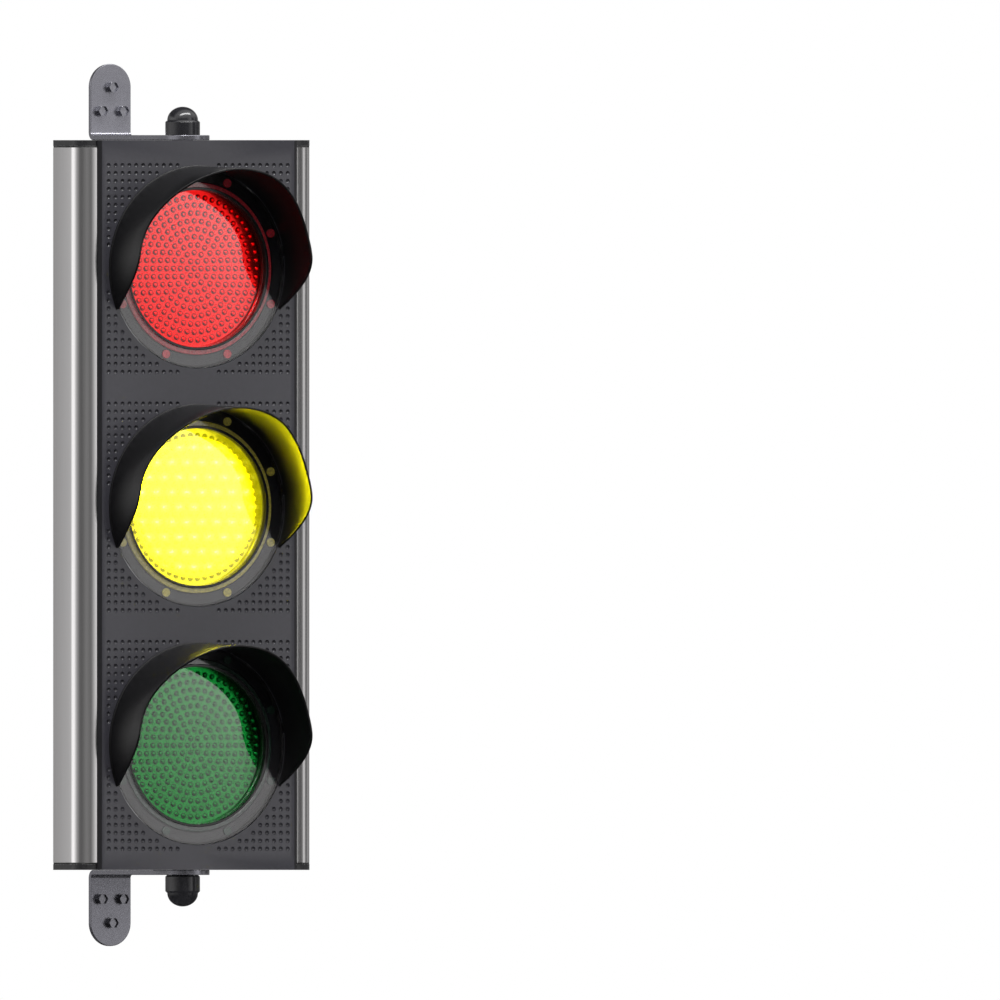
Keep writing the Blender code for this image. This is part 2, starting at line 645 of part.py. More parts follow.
def driver_board():
    half_x, half_z = DRIVER_SIZE[0] / 2, DRIVER_SIZE[1] / 2
    back = DRIVER_FRONT_DEPTH + BOARD_THICKNESS
    bm = bmesh.new()
    add_box(bm, place(-half_x, DRIVER_FRONT_DEPTH, DRIVER_RISE - half_z),
            place(half_x, back, DRIVER_RISE + half_z))
    board = add_part("driver_board", to_mesh("driver_board", bm), MATERIALS["driver"], HEAD)
    parts = bmesh.new()
    inside = DRIVER_FRONT_DEPTH + 0.5
    add_box(parts, place(18, 16, DRIVER_RISE - 10), place(42, inside, DRIVER_RISE + 10))
    add_box(parts, place(-34, 24, DRIVER_RISE - 6), place(-22, inside, DRIVER_RISE + 6))
    for x in (-10.0, 5.0):
        add_cylinder(parts, place(x, inside, DRIVER_RISE), place(x, 17, DRIVER_RISE), 5.0, 16)
    shape_with(board, to_mesh("driver_components", parts), "UNION")


def terminal_block():
    width, height, depth = TERMINAL_SIZE
    back = BODY_DEPTH - 4.6
    left = TERMINAL_CENTRE_X - width / 2
    bm = bmesh.new()
    add_box(bm, place(left, back - depth, TERMINAL_RISE - height / 2),
            place(left + width, back, TERMINAL_RISE + height / 2))
    block = add_part("terminal_block", to_mesh("terminal_block", bm), MATERIALS["terminal"], HEAD)
    wells = bmesh.new()
    for i in range(4):
        x = left + width * (i + 0.5) / 4
        add_cylinder(wells, place(x, back - depth - 1, TERMINAL_RISE),
                     place(x, back - depth + 4, TERMINAL_RISE), 2.4, 10)
        add_box(wells, place(x - 2.5, back - 8, TERMINAL_RISE + 2.5),
                place(x + 2.5, back - 4, TERMINAL_RISE + height))
    shape_with(block, to_mesh("terminal_wells", wells))


def rounded_route(corners, radius, steps=4):
    """The corners of a route joined by straight runs, each inner corner rounded to an arc."""
    corners = [Vector(corner) for corner in corners]
    points = [corners[0]]
    for before, corner, after in zip(corners, corners[1:], corners[2:]):
        incoming = (corner - before).normalized()
        outgoing = (after - corner).normalized()
        centre = corner + (outgoing - incoming) * radius
        for i in range(steps + 1):
            angle = math.radians(90.0 * i / steps)
            offset = incoming * math.sin(angle) - outgoing * math.cos(angle)
            points.append(centre + offset * radius)
    points.append(corners[-1])
    return points


def lead(name, corners, colour):
    curve = bpy.data.curves.new(name, "CURVE")
    curve.dimensions = "3D"
    curve.bevel_depth = LEAD_RADIUS
    curve.bevel_resolution = 2
    curve.use_fill_caps = True
    route = rounded_route(corners, LEAD_BEND_RADIUS)
    spline = curve.splines.new("POLY")
    spline.points.add(len(route) - 1)
    for point, position in zip(spline.points, route):
        point.co = (*position, 1.0)
    blank = bpy.data.objects.new(name, curve)
    CUTTERS.objects.link(blank)
    bpy.context.view_layer.update()
    add_part(name, to_mesh(name, evaluated_bmesh(blank)), MATERIALS[colour], HEAD)


def leads():
    board_back = BOARD_FRONT_DEPTH + BOARD_THICKNESS + CLEARANCE
    for aspect, x in LEAD_POSITIONS.items():
        rise = ASPECT_RISES[aspect]
        edge = DRIVER_RISE + (12.0 if rise > DRIVER_RISE else -12.0)
        corners = [place(x, board_back, rise), place(x, LEAD_RUN_DEPTH, rise),
                   place(x, LEAD_RUN_DEPTH, edge)]
        lead(aspect + "_lead", corners, aspect)
    x = TERMINAL_CENTRE_X - 15
    bottom = TERMINAL_RISE - TERMINAL_SIZE[1] / 2 - CLEARANCE
    corners = [place(x, LEAD_RUN_DEPTH - 10, bottom), place(x, LEAD_RUN_DEPTH - 10, bottom - 6),
               place(x, LEAD_RUN_DEPTH, bottom - 6), place(x, LEAD_RUN_DEPTH, DRIVER_RISE + 8)]
    lead("supply_lead", corners, "terminal")


# ---------------------------------------------------------------- pivots and brackets

def cap_nut_profile(chamfered_base):
    """Round domed nut with a blind bore, its base at height 0."""
    body = 10.9 if chamfered_base else 9.9
    foot = 1.3 if chamfered_base else 0.0
    shoulder = foot + body
    dome_base = shoulder + 1.4
    dome_height = 10.2
    points = []
    for i in range(7):
        angle = math.radians(90.0 - 90.0 * i / 6)
        points.append((CAP_NUT_DOME_RADIUS * math.cos(angle), dome_base + dome_height * math.sin(angle)))
    points[0] = (0.0, dome_base + dome_height)
    points += [(CAP_NUT_RADIUS, shoulder), (CAP_NUT_RADIUS, foot)]
    if chamfered_base:
        points.append((CAP_NUT_RADIUS - 1.3, 0.0))
    bore = STEM_RADIUS + CLEARANCE
    points += [(bore, 0.0), (bore, CAP_NUT_BORE_DEPTH), (0.0, CAP_NUT_BORE_DEPTH)]
    return points


def pivot_pieces(end, direction):
    arm_outer = ARM_RISE + BRACKET_THICKNESS
    stem_low = CAP_BOTTOM_RISE + 4.4 - STEM_INNER_LENGTH
    stem_high = arm_outer + STEM_OUTER_LENGTH
    ring = [(STEM_BORE_RADIUS, stem_high), (STEM_RADIUS, stem_high),
            (STEM_RADIUS, stem_low), (STEM_BORE_RADIUS, stem_low)]
    mesh = turned(end + "_pivot_stem", ring, upright(0, direction), STEM_STEPS, closed=True)
    add_part(end + "_pivot_stem", mesh, MATERIALS["zinc"], HEAD)

    nut = bmesh.new()
    nut_top = CAP_BOTTOM_RISE - CLEARANCE
    add_cylinder(nut, (0, 0, nut_top - LOCK_NUT_THICKNESS), (0, 0, nut_top),
                 LOCK_NUT_ACROSS_FLATS / math.sqrt(3), 6, turn=math.radians(30))
    nut.transform(upright(0, direction))
    part = add_part(end + "_lock_nut", to_mesh(end + "_lock_nut", nut), MATERIALS["zinc"], HEAD)
    bore = bmesh.new()
    add_cylinder(bore, (0, 0, nut_top - LOCK_NUT_THICKNESS - 1), (0, 0, nut_top + 1),
                 STEM_RADIUS + CLEARANCE, STEM_STEPS)
    bore.transform(upright(0, direction))
    shape_with(part, to_mesh(end + "_lock_nut_bore", bore))

    inner = STEM_RADIUS + CLEARANCE
    ring = [(inner, HALF_HEIGHT), (WASHER_RADIUS, HALF_HEIGHT),
            (WASHER_RADIUS, HALF_HEIGHT - WASHER_THICKNESS), (inner, HALF_HEIGHT - WASHER_THICKNESS)]
    mesh = turned(end + "_friction_washer", ring, upright(0, direction), STEM_STEPS, closed=True)
    add_part(end + "_friction_washer", mesh, MATERIALS["nylon"], HEAD)

    seat = arm_outer + CLEARANCE
    axis = joint_empty(end + "_cap_nut_axis", (0, PIVOT_Y, BODY_Z + direction * seat), HEAD)
    mesh = turned(end + "_cap_nut", cap_nut_profile(direction < 0), upright(seat, direction), STEM_STEPS)
    add_part(end + "_cap_nut", mesh, MATERIALS["nut"], axis)


def bracket(end, direction, carrier):
    """A bent strip with round ends: arm along the body's end, plate against the wall."""
    radius = BRACKET_BEND_RADIUS
    thickness = BRACKET_THICKNESS
    tip = PIVOT_Y - ARM_END_PAST_PIVOT
    plate_top = ARM_RISE + UPPER_BOLT_RISE + BRACKET_WIDTH / 2 + 2
    arm_front = tip - BRACKET_WIDTH / 2 - 2
    side = [(arm_front, ARM_RISE), (-radius, ARM_RISE)]
    for i in range(1, 8):
        angle = math.radians(-90.0 + 90.0 * i / 8)
        side.append((-radius + radius * math.cos(angle), ARM_RISE + radius + radius * math.sin(angle)))
    side += [(0.0, ARM_RISE + radius), (0.0, plate_top), (-thickness, plate_top),
             (-thickness, ARM_RISE + radius)]
    inner = radius - thickness
    for i in range(1, 8):
        angle = math.radians(-90.0 * i / 8)
        side.append((-radius + inner * math.cos(angle), ARM_RISE + radius + inner * math.sin(angle)))
    side += [(-radius, ARM_RISE + thickness), (arm_front, ARM_RISE + thickness)]
    side = [(y, direction * rise) for y, rise in side]
    # Local X is world Y, local Y is world Z, and the strip's width runs along world X.
    along_strip = Matrix(((0, 0, 1, 0), (1, 0, 0, 0), (0, 1, 0, 0), (0, 0, 0, 1)))
    side_frame = Matrix.Translation((0, 0, BODY_Z)) @ along_strip
    half = BRACKET_WIDTH / 2
    mesh = extruded(end + "_bracket", [side], -half - 2, half + 2, side_frame)
    part = add_part(end + "_bracket", mesh, MATERIALS["steel"], carrier)

    half_turn = [math.radians(180.0 * i / ROUND_END_STEPS) for i in range(ROUND_END_STEPS + 1)]
    plan = [(half, 5.0), (-half, 5.0)]
    plan += [(-half * math.cos(angle), tip - half * math.sin(angle)) for angle in half_turn]
    rises = sorted((direction * (ARM_RISE - 5), direction * (plate_top + 5)))
    arm_mask = extruded(end + "_arm_outline", [plan], BODY_Z + rises[0], BODY_Z + rises[1])
    shape_with(part, arm_mask, "INTERSECT")

    centre = ARM_RISE + UPPER_BOLT_RISE
    front_view = [(half, direction * (ARM_RISE - 5))]
    front_view += [(half * math.cos(angle), direction * (centre + half * math.sin(angle)))
                   for angle in half_turn]
    front_view.append((-half, direction * (ARM_RISE - 5)))
    wall_frame = Matrix.Translation((0, 0, BODY_Z)) @ Matrix.Rotation(math.radians(90), 4, "X")
    plate_mask = extruded(end + "_plate_outline", [front_view], -5.0, -arm_front + 5, wall_frame)
    shape_with(part, plate_mask, "INTERSECT")

    holes = bmesh.new()
    add_cylinder(holes, (0, PIVOT_Y, BODY_Z + direction * (ARM_RISE - 2)),
                 (0, PIVOT_Y, BODY_Z + direction * (ARM_RISE + 6)), STEM_RADIUS + CLEARANCE, STEM_STEPS)
    for x, rise in bolt_places():
        z = BODY_Z + direction * (ARM_RISE + rise)
        add_cylinder(holes, (x, 2, z), (x, -thickness - 2, z), BOLT_SHANK_RADIUS + CLEARANCE, SMALL_STEPS)
    shape_with(part, to_mesh(end + "_bracket_holes", holes))

    for number, (x, rise) in enumerate(bolt_places(), start=1):
        name = f"{end}_wall_bolt_{number}"
        wall_bolt(name, x, BODY_Z + direction * (ARM_RISE + rise), carrier)


def bolt_places():
    lower = [(side * LOWER_BOLT_OFFSET, LOWER_BOLT_RISE) for side in (-1, 1)]
    return [(0.0, UPPER_BOLT_RISE)] + lower


def wall_bolt(name, x, z, carrier):
    seat = -BRACKET_THICKNESS - CLEARANCE
    hexagon = bmesh.new()
    foot = seat - BOLT_COLLAR_HEIGHT
    add_cylinder(hexagon, (x, foot + 0.4, z), (x, foot - BOLT_HEX_HEIGHT, z),
                 BOLT_ACROSS_FLATS / math.sqrt(3), 6, turn=math.radians(30))
    profile = [(0.0, BOLT_COLLAR_HEIGHT),
               (BOLT_COLLAR_RADIUS, BOLT_COLLAR_HEIGHT), (BOLT_COLLAR_RADIUS, 0.0),
               (BOLT_SHANK_RADIUS, 0.0), (BOLT_SHANK_RADIUS, seat + CLEARANCE), (0.0, seat + CLEARANCE)]
    frame = Matrix.Translation((x, seat, z)) @ Matrix.Rotation(math.radians(90), 4, "X")
    part = add_part(name, turned(name, profile, frame, SMALL_STEPS), MATERIALS["zinc"], carrier)
    shape_with(part, to_mesh(name + "_hexagon", hexagon), "UNION")


# ---------------------------------------------------------------- the assembly

side_profile("left_side_profile", -1)
side_profile("right_side_profile", 1)
end_pieces("top", 1)
end_pieces("bottom", -1)
front_panel()
back_panel()
for aspect_name in ASPECTS:
    aspect_rise = ASPECT_RISES[aspect_name]
    visor(aspect_name + "_visor", aspect_rise)
    clear_cover(aspect_name + "_clear_cover", aspect_rise)
    cover_gasket(aspect_name + "_cover_gasket", aspect_rise)
    pebble_lens(aspect_name + "_pebble_lens", aspect_rise, aspect_name)
    lamp_housing(aspect_name + "_lamp_housing", aspect_rise, LEAD_POSITIONS[aspect_name])
    led_board(aspect_name + "_led_board", aspect_rise)
driver_board()
terminal_block()
leads()
pivot_pieces("top", 1)
pivot_pieces("bottom", -1)
bracket("top", 1, None)
bracket("bottom", -1, joint_empty("bottom_bracket_axis", (0, PIVOT_Y, BODY_Z - ARM_RISE), HEAD))
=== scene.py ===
"""Finished looks of a three-aspect LED traffic signal head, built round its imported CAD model.

Every piece is drawn in millimetres and scaled to metres once, in the CAD frame: +Z up,
the lenses face -Y, and the wall is the plane Y = 0. "Depth" is measured from the front
panel's outer face towards the wall, and "rise" from the middle of the body upwards.
"""

import math

import bmesh
import bpy
from bpy.props import FloatProperty, FloatVectorProperty, IntProperty, PointerProperty
from mathutils import Matrix, Vector


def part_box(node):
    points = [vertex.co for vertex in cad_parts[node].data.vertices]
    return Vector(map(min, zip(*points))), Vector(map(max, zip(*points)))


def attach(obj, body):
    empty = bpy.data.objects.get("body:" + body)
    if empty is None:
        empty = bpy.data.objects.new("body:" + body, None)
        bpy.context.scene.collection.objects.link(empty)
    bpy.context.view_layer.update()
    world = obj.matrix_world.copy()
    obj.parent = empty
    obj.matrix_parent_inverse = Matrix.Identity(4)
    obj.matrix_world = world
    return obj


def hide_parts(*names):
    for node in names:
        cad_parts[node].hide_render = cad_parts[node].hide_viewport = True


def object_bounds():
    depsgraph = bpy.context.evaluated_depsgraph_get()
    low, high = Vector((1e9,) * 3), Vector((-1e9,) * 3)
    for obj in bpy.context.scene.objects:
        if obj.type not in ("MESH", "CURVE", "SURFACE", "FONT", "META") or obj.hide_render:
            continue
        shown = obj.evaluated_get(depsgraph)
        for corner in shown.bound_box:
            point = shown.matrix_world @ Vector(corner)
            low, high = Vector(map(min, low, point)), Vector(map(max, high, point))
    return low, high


bl_info = {
    "name": "Traffic signal head",
    "version": (1, 0, 0),
    "blender": (4, 5, 0),
    "location": "3D View > Sidebar > Signal head",
    "description": "Builds the finished pieces of a three-aspect LED traffic signal head",
    "category": "Add Mesh",
}

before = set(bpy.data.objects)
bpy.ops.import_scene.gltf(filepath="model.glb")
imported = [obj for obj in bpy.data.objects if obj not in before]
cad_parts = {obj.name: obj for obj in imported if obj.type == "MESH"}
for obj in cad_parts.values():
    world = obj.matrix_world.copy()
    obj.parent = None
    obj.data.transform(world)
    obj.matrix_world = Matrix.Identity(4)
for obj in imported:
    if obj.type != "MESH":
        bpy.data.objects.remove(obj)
CAD_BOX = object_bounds()
MM = 0.001


def node_box(name):
    """Lowest and highest corner of a CAD node, in millimetres."""
    low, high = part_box(name)
    return low / MM, high / MM


# ---------------------------------------------------------------- places taken from the CAD model

PANEL_LOW, PANEL_HIGH = node_box("front_panel")
SIDE_LOW, SIDE_HIGH = node_box("left_side_profile")
CAP_LOW, _ = node_box("top_end_cap")
NUT_LOW, NUT_HIGH = node_box("top_cap_nut")

ASPECTS = ("red", "yellow", "green")
ENDS = (("top", 1), ("bottom", -1))
FRONT_Y = PANEL_LOW.y
BACK_Y = SIDE_HIGH.y
BODY_DEPTH = BACK_Y - FRONT_Y
BODY_Z = (PANEL_LOW.z + PANEL_HIGH.z) / 2
HALF_HEIGHT = (PANEL_HIGH.z - PANEL_LOW.z) / 2
HALF_WIDTH = -SIDE_LOW.x
PIVOT_Y = (NUT_LOW.y + NUT_HIGH.y) / 2
CAP_INNER_RISE = CAP_LOW.z - BODY_Z
PROFILE_RISE = SIDE_HIGH.z - BODY_Z
ASPECT_RISES = {}
for aspect_name in ASPECTS:
    cover_low, cover_high = node_box(aspect_name + "_clear_cover")
    ASPECT_RISES[aspect_name] = (cover_low.z + cover_high.z) / 2 - BODY_Z
ASPECT_PITCH = ASPECT_RISES["red"] - ASPECT_RISES["yellow"]

# Body shell
SIDE_FLAT_DEPTH = 26.9
CORNER_WIDTH = 16.3
CORNER_DEPTH = 11.2
CORNER_SWEEP = math.radians(82.0)
PROFILE_WALL = 2.0
SCREW_PORTS = ((7.5, 8.6), (7.5, 27.0))
PORT_RADIUS = 1.8
PANEL_HALF_WIDTH = 86.9
PANEL_THICKNESS = 3.0
PANEL_BEVEL = (3.1, 1.6)
# Painted shade: the panel's bevelled edges take its colour darkened by this factor.
EDGE_SHADE = 0.25
TONGUE_HALF_WIDTH = 90.5
TONGUE_DEPTHS = (3.7, 5.3)
COLLAR_RADIUS = 80.0
COLLAR_DEPTH = 6.0
REBATE_RADIUS = 75.4
REBATE_DEPTH = 4.3
OPENING_RADIUS = 66.0
CAP_HOLE_RADIUS = 3.3
GASKET_INSET = 0.2
SCREW_SINK = 0.25
BACK_ROUNDING = ((0.4, 0.0), (0.1, 0.1), (0.0, 0.4))
GAP = 0.3
HAIRLINE = 0.05

# Optics
COVER_RADIUS = 75.0
COVER_THICKNESS = 2.7
WINDOW_RADIUS = 59.35
WINDOW_RINGS = 16
WINDOW_DEPTH = 4.7
WINDOW_RISE = 2.4
WINDOW_THICKNESS = 1.2
BOSS_CIRCLE = 69.8
BOSS_TURN = 22.5
DISC_RADIUS = 59.4
DISC_FRONT = 6.7
DISC_BACK = 9.0
TUBE_RADIUS = 61.5
RING_FRONT = 0.15
FLANGE_RADIUS = 65.0
FLANGE_DEPTHS = (3.0, 4.5)

# Visor
VISOR_BASE_RADIUS = 77.2
VISOR_RIM_RADIUS = 76.0
VISOR_WALL = 1.8
VISOR_TIP_ANGLE = -23.5
VISOR_SIDE_LENGTH = 41.5
VISOR_TOP_LENGTH = 63.0
VISOR_TIP_LENGTH = 1.2
VISOR_SIDE_START = 24.0
VISOR_SIDE_SWEEP = 32.0
VISOR_TOP_START = 15.0
VISOR_TOP_SWEEP = 63.0
VISOR_STEPS = 180
BEAD_SECTION = ((0.8, 0.0), (0.8, 0.45), (0.65, 0.8), (0.3, 1.0), (0.0, 1.1))
BEAD_FULL_REACH = 5.0
TAB_ANGLES = (10.0, 90.0, 170.0)
TAB_WIDTH = 8.0
TAB_DEPTH = 4.0
TAB_RADII = (75.7, 77.0)

# Brackets and pivots
STRIP_WIDTH = 35.0
STRIP_THICKNESS = 3.5
BEND_RADIUS = 6.0
ARM_RISE = HALF_HEIGHT + GAP
TOUCH = 0.04
ARM_TIP_CENTRE = PIVOT_Y - 5.7
UPPER_BOLT_RISE = 39.7
LOWER_BOLT_RISE = 21.7
LOWER_BOLT_OFFSET = 9.2
STEM_HOLE_RADIUS = 8.3
WASHER_SEAT = (14.3, 1.3)
NUT_RADIUS = 13.15
DOME_RADIUS = 11.65
DOME_HEIGHT = 10.2
DOME_STEP = 1.4
DOME_STEPS = 24
NUT_BORE = 13.5
NUT_FEET = {"top": 0.25, "bottom": 1.3}
NUT_SHOULDERS = {"top": 9.9, "bottom": 12.2}
BRACKET_ROUNDING = 0.45

FINE_STEPS = 128
ROUND_STEPS = 72


# ---------------------------------------------------------------- sizes and colours to change

def length(name, description, default):
    return FloatProperty(name=name, description=description, default=default, min=0.0, unit="LENGTH")


def colour(name, description, default):
    return FloatVectorProperty(
        name=name, description=description, default=default, size=3, min=0.0, max=1.0, subtype="COLOR"
    )


class PanelSizes(bpy.types.PropertyGroup):
    dimple_spacing: length("Dimple spacing", "Distance between neighbouring dimples", 0.006)
    dimple_radius: length("Dimple radius", "Radius of a dimple at the panel's face", 0.00178)
    dimple_depth: length("Dimple depth", "Depth of a dimple at its middle", 0.0015)
    dimple_clear_radius: length("Clear radius", "Radius round a lens that has no dimples", 0.0795)
    dimple_columns: IntProperty(
        name="Dimple columns", description="Dimples across one square field", default=27, min=3, max=60
    )
    edge_rounding: length("Edge rounding", "Rounding of the end caps' outer edges", 0.0006)


class OpticSizes(bpy.types.PropertyGroup):
    pebble_spacing: length("Pebble ring spacing", "Distance between neighbouring rings of pebbles", 0.006)
    pebble_radius: length("Pebble radius", "Radius of a pebble at its foot", 0.0022)
    pebble_height: length("Pebble height", "How far a pebble stands out", 0.0013)
    pebble_rings: IntProperty(
        name="Pebble rings", description="Rings of pebbles round the middle one", default=9, min=1, max=9
    )
    led_spacing: length("LED spacing", "Distance between neighbouring LEDs", 0.013)
    boss_radius: length("Boss radius", "Radius of the pins behind the clear cover", 0.00325)
    boss_height: length("Boss height", "Length of the pins behind the clear cover", 0.0012)
    boss_count: IntProperty(
        name="Bosses", description="Pins behind one clear cover", default=8, min=2, max=24
    )


class FixingSizes(bpy.types.PropertyGroup):
    bolt_across_flats: length("Bolt across flats", "Hexagon of a wall bolt", 0.007)
    bolt_hex_height: length("Bolt head height", "Height of a wall bolt's hexagon", 0.0045)
    bolt_collar_radius: length("Bolt collar radius", "Collar under a wall bolt's hexagon", 0.0046)
    bolt_collar_height: length("Bolt collar height", "Collar under a wall bolt's hexagon", 0.0005)
    screw_head_radius: length("Screw head radius", "Countersunk head of an end-cap screw", 0.003)
    screw_socket: length("Screw socket across flats", "Hexagon socket of an end-cap screw", 0.002)
    screw_length: length("Screw length", "Whole length of an end-cap screw", 0.014)


class SignalColours(bpy.types.PropertyGroup):
    aluminium: colour("Aluminium", "Anodised side profiles", (0.86, 0.85, 0.85))
    panel: colour("Panel", "Front and back panels", (0.0255, 0.025, 0.031))
    cap: colour("End caps", "End caps", (0.012, 0.012, 0.013))
    visor: colour("Visors", "Visors", (0.003, 0.003, 0.0034))
    red: colour("Red", "Red lens", (1.0, 0.012, 0.012))
    yellow: colour("Yellow", "Yellow lens", (1.0, 0.86, 0.02))
    green: colour("Green", "Green lens", (0.006, 0.21, 0.03))
    steel: colour("Brackets", "Coated steel of the brackets", (0.215, 0.214, 0.24))
    bolt: colour("Bolts", "Wall bolts", (0.3, 0.3, 0.33))
    nut: colour("Cap nuts", "Cap nuts", (0.012, 0.012, 0.014))


class StudioSettings(bpy.types.PropertyGroup):
    light: FloatProperty(name="Light", description="Strength of the studio light", default=1.0, min=0.0)
    floor: colour("Floor", "Pale floor", (0.86, 0.86, 0.86))
    view_azimuth: FloatProperty(
        name="View azimuth", description="Turn of the camera round the object",
        default=math.radians(-30.0), subtype="ANGLE",
    )
    view_width: length("View width", "Width that the camera takes in", 0.755)


# ---------------------------------------------------------------- finishes

RELIEF = "relief"
FLAT_RELIEF = 2.0
# Painted shade at the pebbles' feet: the brightness factor at a foot, and the relief at which it reaches
# full.
FOOT_SHADE = 0.2
FULL_SHADE = 0.6
TOP_REACH = 0.3
LED_STRENGTH = 42.0
LED_EDGE = 0.013
LED_REACH = (0.039, 0.0535)
LED_STRETCH = (0.8, 0.0, 1.3)
LED_SPOT = (0.0024, 0.0078)
LED_RAGGED = 0.006
NOISE_SPREAD = (0.3, 0.7)
CLEAR_TINT = (0.97, 0.97, 0.97)
CLEAR_IOR = 1.52

# Material name, colour, roughness, then what mottle and grain take.
MATT_FINISHES = {
    "rubber": ("black_gasket_rubber", (0.012, 0.012, 0.012), 0.75, (600.0, 0.3), (2500.0, 0.2, 0.00005)),
    "housing": ("black_lamp_housing_plastic", (0.01, 0.01, 0.01), 0.5, (400.0, 0.2), (1800.0, 0.15, 0.00005)),
    "board": ("white_solder_mask", (0.62, 0.62, 0.6), 0.45, (900.0, 0.06), (1500.0, 0.1, 0.00003)),
    "driver": ("green_solder_mask", (0.015, 0.12, 0.045), 0.35, (700.0, 0.25), (1500.0, 0.1, 0.00003)),
    "terminal": ("grey_terminal_plastic", (0.3, 0.31, 0.31), 0.45, (700.0, 0.06), (2000.0, 0.1, 0.00004)),
    "nylon": ("white_nylon", (0.7, 0.7, 0.66), 0.4, (500.0, 0.05), (1800.0, 0.1, 0.00004)),
}
LEAD_TINTS = {
    "red": (0.5, 0.02, 0.02),
    "yellow": (0.7, 0.5, 0.02),
    "green": (0.02, 0.28, 0.07),
    "supply": (0.25, 0.25, 0.26),
}
# Colour of each lens's flange and of the pins behind its cover, and the strength of their painted glow: a
# faint emission that stands in for light reaching them behind the clear cover.
FLANGE_TINTS = {
    "red": ((0.6, 0.04, 0.06), 0.06),
    "yellow": ((0.6, 0.52, 0.1), 0.08),
    "green": ((0.05, 0.09, 0.07), 0.02),
}


class Finish:
    """A material in the making: its node tree and its main shader."""

    def __init__(self, name, base, roughness, **sockets):
        self.material = bpy.data.materials.new(name)
        self.material.use_nodes = True
        self.tree = self.material.node_tree
        self.shader = self.tree.nodes["Principled BSDF"]
        self.base = base
        self.shader.inputs["Base Color"].default_value = (*base, 1.0)
        self.shader.inputs["Roughness"].default_value = roughness
        for socket, value in sockets.items():
            self.shader.inputs[socket.replace("_", " ")].default_value = value
        self.material.diffuse_color = (*base, 1.0)

    def node(self, kind, values=None, **settings):
        made = self.tree.nodes.new(kind)
        for setting, value in settings.items():
            setattr(made, setting, value)
        for socket, value in (values or {}).items():
            if isinstance(value, bpy.types.NodeSocket):
                self.tree.links.new(value, made.inputs[socket])
            else:
                made.inputs[socket].default_value = value
        return made

    def noise(self, scale, stretch=(1.0, 1.0, 1.0), detail=3.0, centre=(0.0, 0.0, 0.0)):
        """Noise on the piece's own coordinates, scale in features per metre."""
        place_node = self.node("ShaderNodeTexCoord")
        mapping = self.node(
            "ShaderNodeMapping",
            {"Vector": place_node.outputs["Object"], "Scale": stretch, "Location": centre},
        )
        texture = self.node(
            "ShaderNodeTexNoise", {"Vector": mapping.outputs["Vector"], "Scale": scale, "Detail": detail}
        )
        return texture.outputs["Fac"]

    def mottle(self, scale, amount, stretch=(1.0, 1.0, 1.0), tint=(1.0, 1.0, 1.0)):
        """Lets the colour drift between a darker and a lighter shade of itself."""
        ramp = self.node("ShaderNodeValToRGB", {"Fac": self.noise(scale, stretch)})
        dark = [c * (1.0 - amount) for c in self.base]
        light = [min(1.0, c * (1.0 + amount) * t) for c, t in zip(self.base, tint)]
        for element, position, tone in zip(ramp.color_ramp.elements, NOISE_SPREAD, (dark, light)):
            element.position = position
            element.color = (*tone, 1.0)
        self.tree.links.new(ramp.outputs["Color"], self.shader.inputs["Base Color"])
        return self

    def shade(self):
        """Painted shade by the relief of the pebbles: a brightness factor that is dark along a pebble's foot.
        """
        relief = self.node("ShaderNodeAttribute", attribute_name=RELIEF)
        return self.node(
            "ShaderNodeMapRange",
            {"Value": relief.outputs["Fac"], "From Min": 0.0, "From Max": FULL_SHADE,
             "To Min": FOOT_SHADE, "To Max": 1.0},
        ).outputs["Result"]

    def painted_top_glow(self, glow):
        """Painted light: a little emission of the given colour on the very top of each pebble."""
        relief = self.node("ShaderNodeAttribute", attribute_name=RELIEF)
        below = self.node("ShaderNodeMath", {0: relief.outputs["Fac"], 1: 1.0}, operation="SUBTRACT")
        off_top = self.node("ShaderNodeMath", {0: below.outputs[0]}, operation="ABSOLUTE")
        share = self.node(
            "ShaderNodeMapRange",
            {"Value": off_top.outputs[0], "From Min": 0.0, "From Max": TOP_REACH,
             "To Min": 1.0, "To Max": 0.0},
        )
        light = self.node(
            "ShaderNodeVectorMath", {0: glow, "Scale": share.outputs["Result"]}, operation="SCALE"
        )
        self.tree.links.new(light.outputs[0], self.shader.inputs["Emission Color"])
        return self

    def painted_foot_shade(self):
        """Painted shade: darkens the colour along the foot of each pebble."""
        socket = self.shader.inputs["Base Color"]
        source = socket.links[0].from_socket
        scaled = self.node("ShaderNodeVectorMath", {0: source, "Scale": self.shade()}, operation="SCALE")
        self.tree.links.new(scaled.outputs[0], socket)
        return self

    def uneven_gloss(self, scale, low, high, stretch=(1.0, 1.0, 1.0)):
        """Lets the roughness wander between two values."""
        spread = self.node(
            "ShaderNodeMapRange",
            {"Value": self.noise(scale, stretch), "From Min": NOISE_SPREAD[0],
             "From Max": NOISE_SPREAD[1], "To Min": low, "To Max": high},
        )
        self.tree.links.new(spread.outputs["Result"], self.shader.inputs["Roughness"])
        return self

    def grain(self, scale, strength, depth, stretch=(1.0, 1.0, 1.0)):
        """A fine relief of the given depth in metres."""
        bump = self.node(
            "ShaderNodeBump",
            {"Height": self.noise(scale, stretch, 2.0), "Strength": strength, "Distance": depth},
        )
        self.tree.links.new(bump.outputs["Normal"], self.shader.inputs["Normal"])
        return self


FINISHES = {}


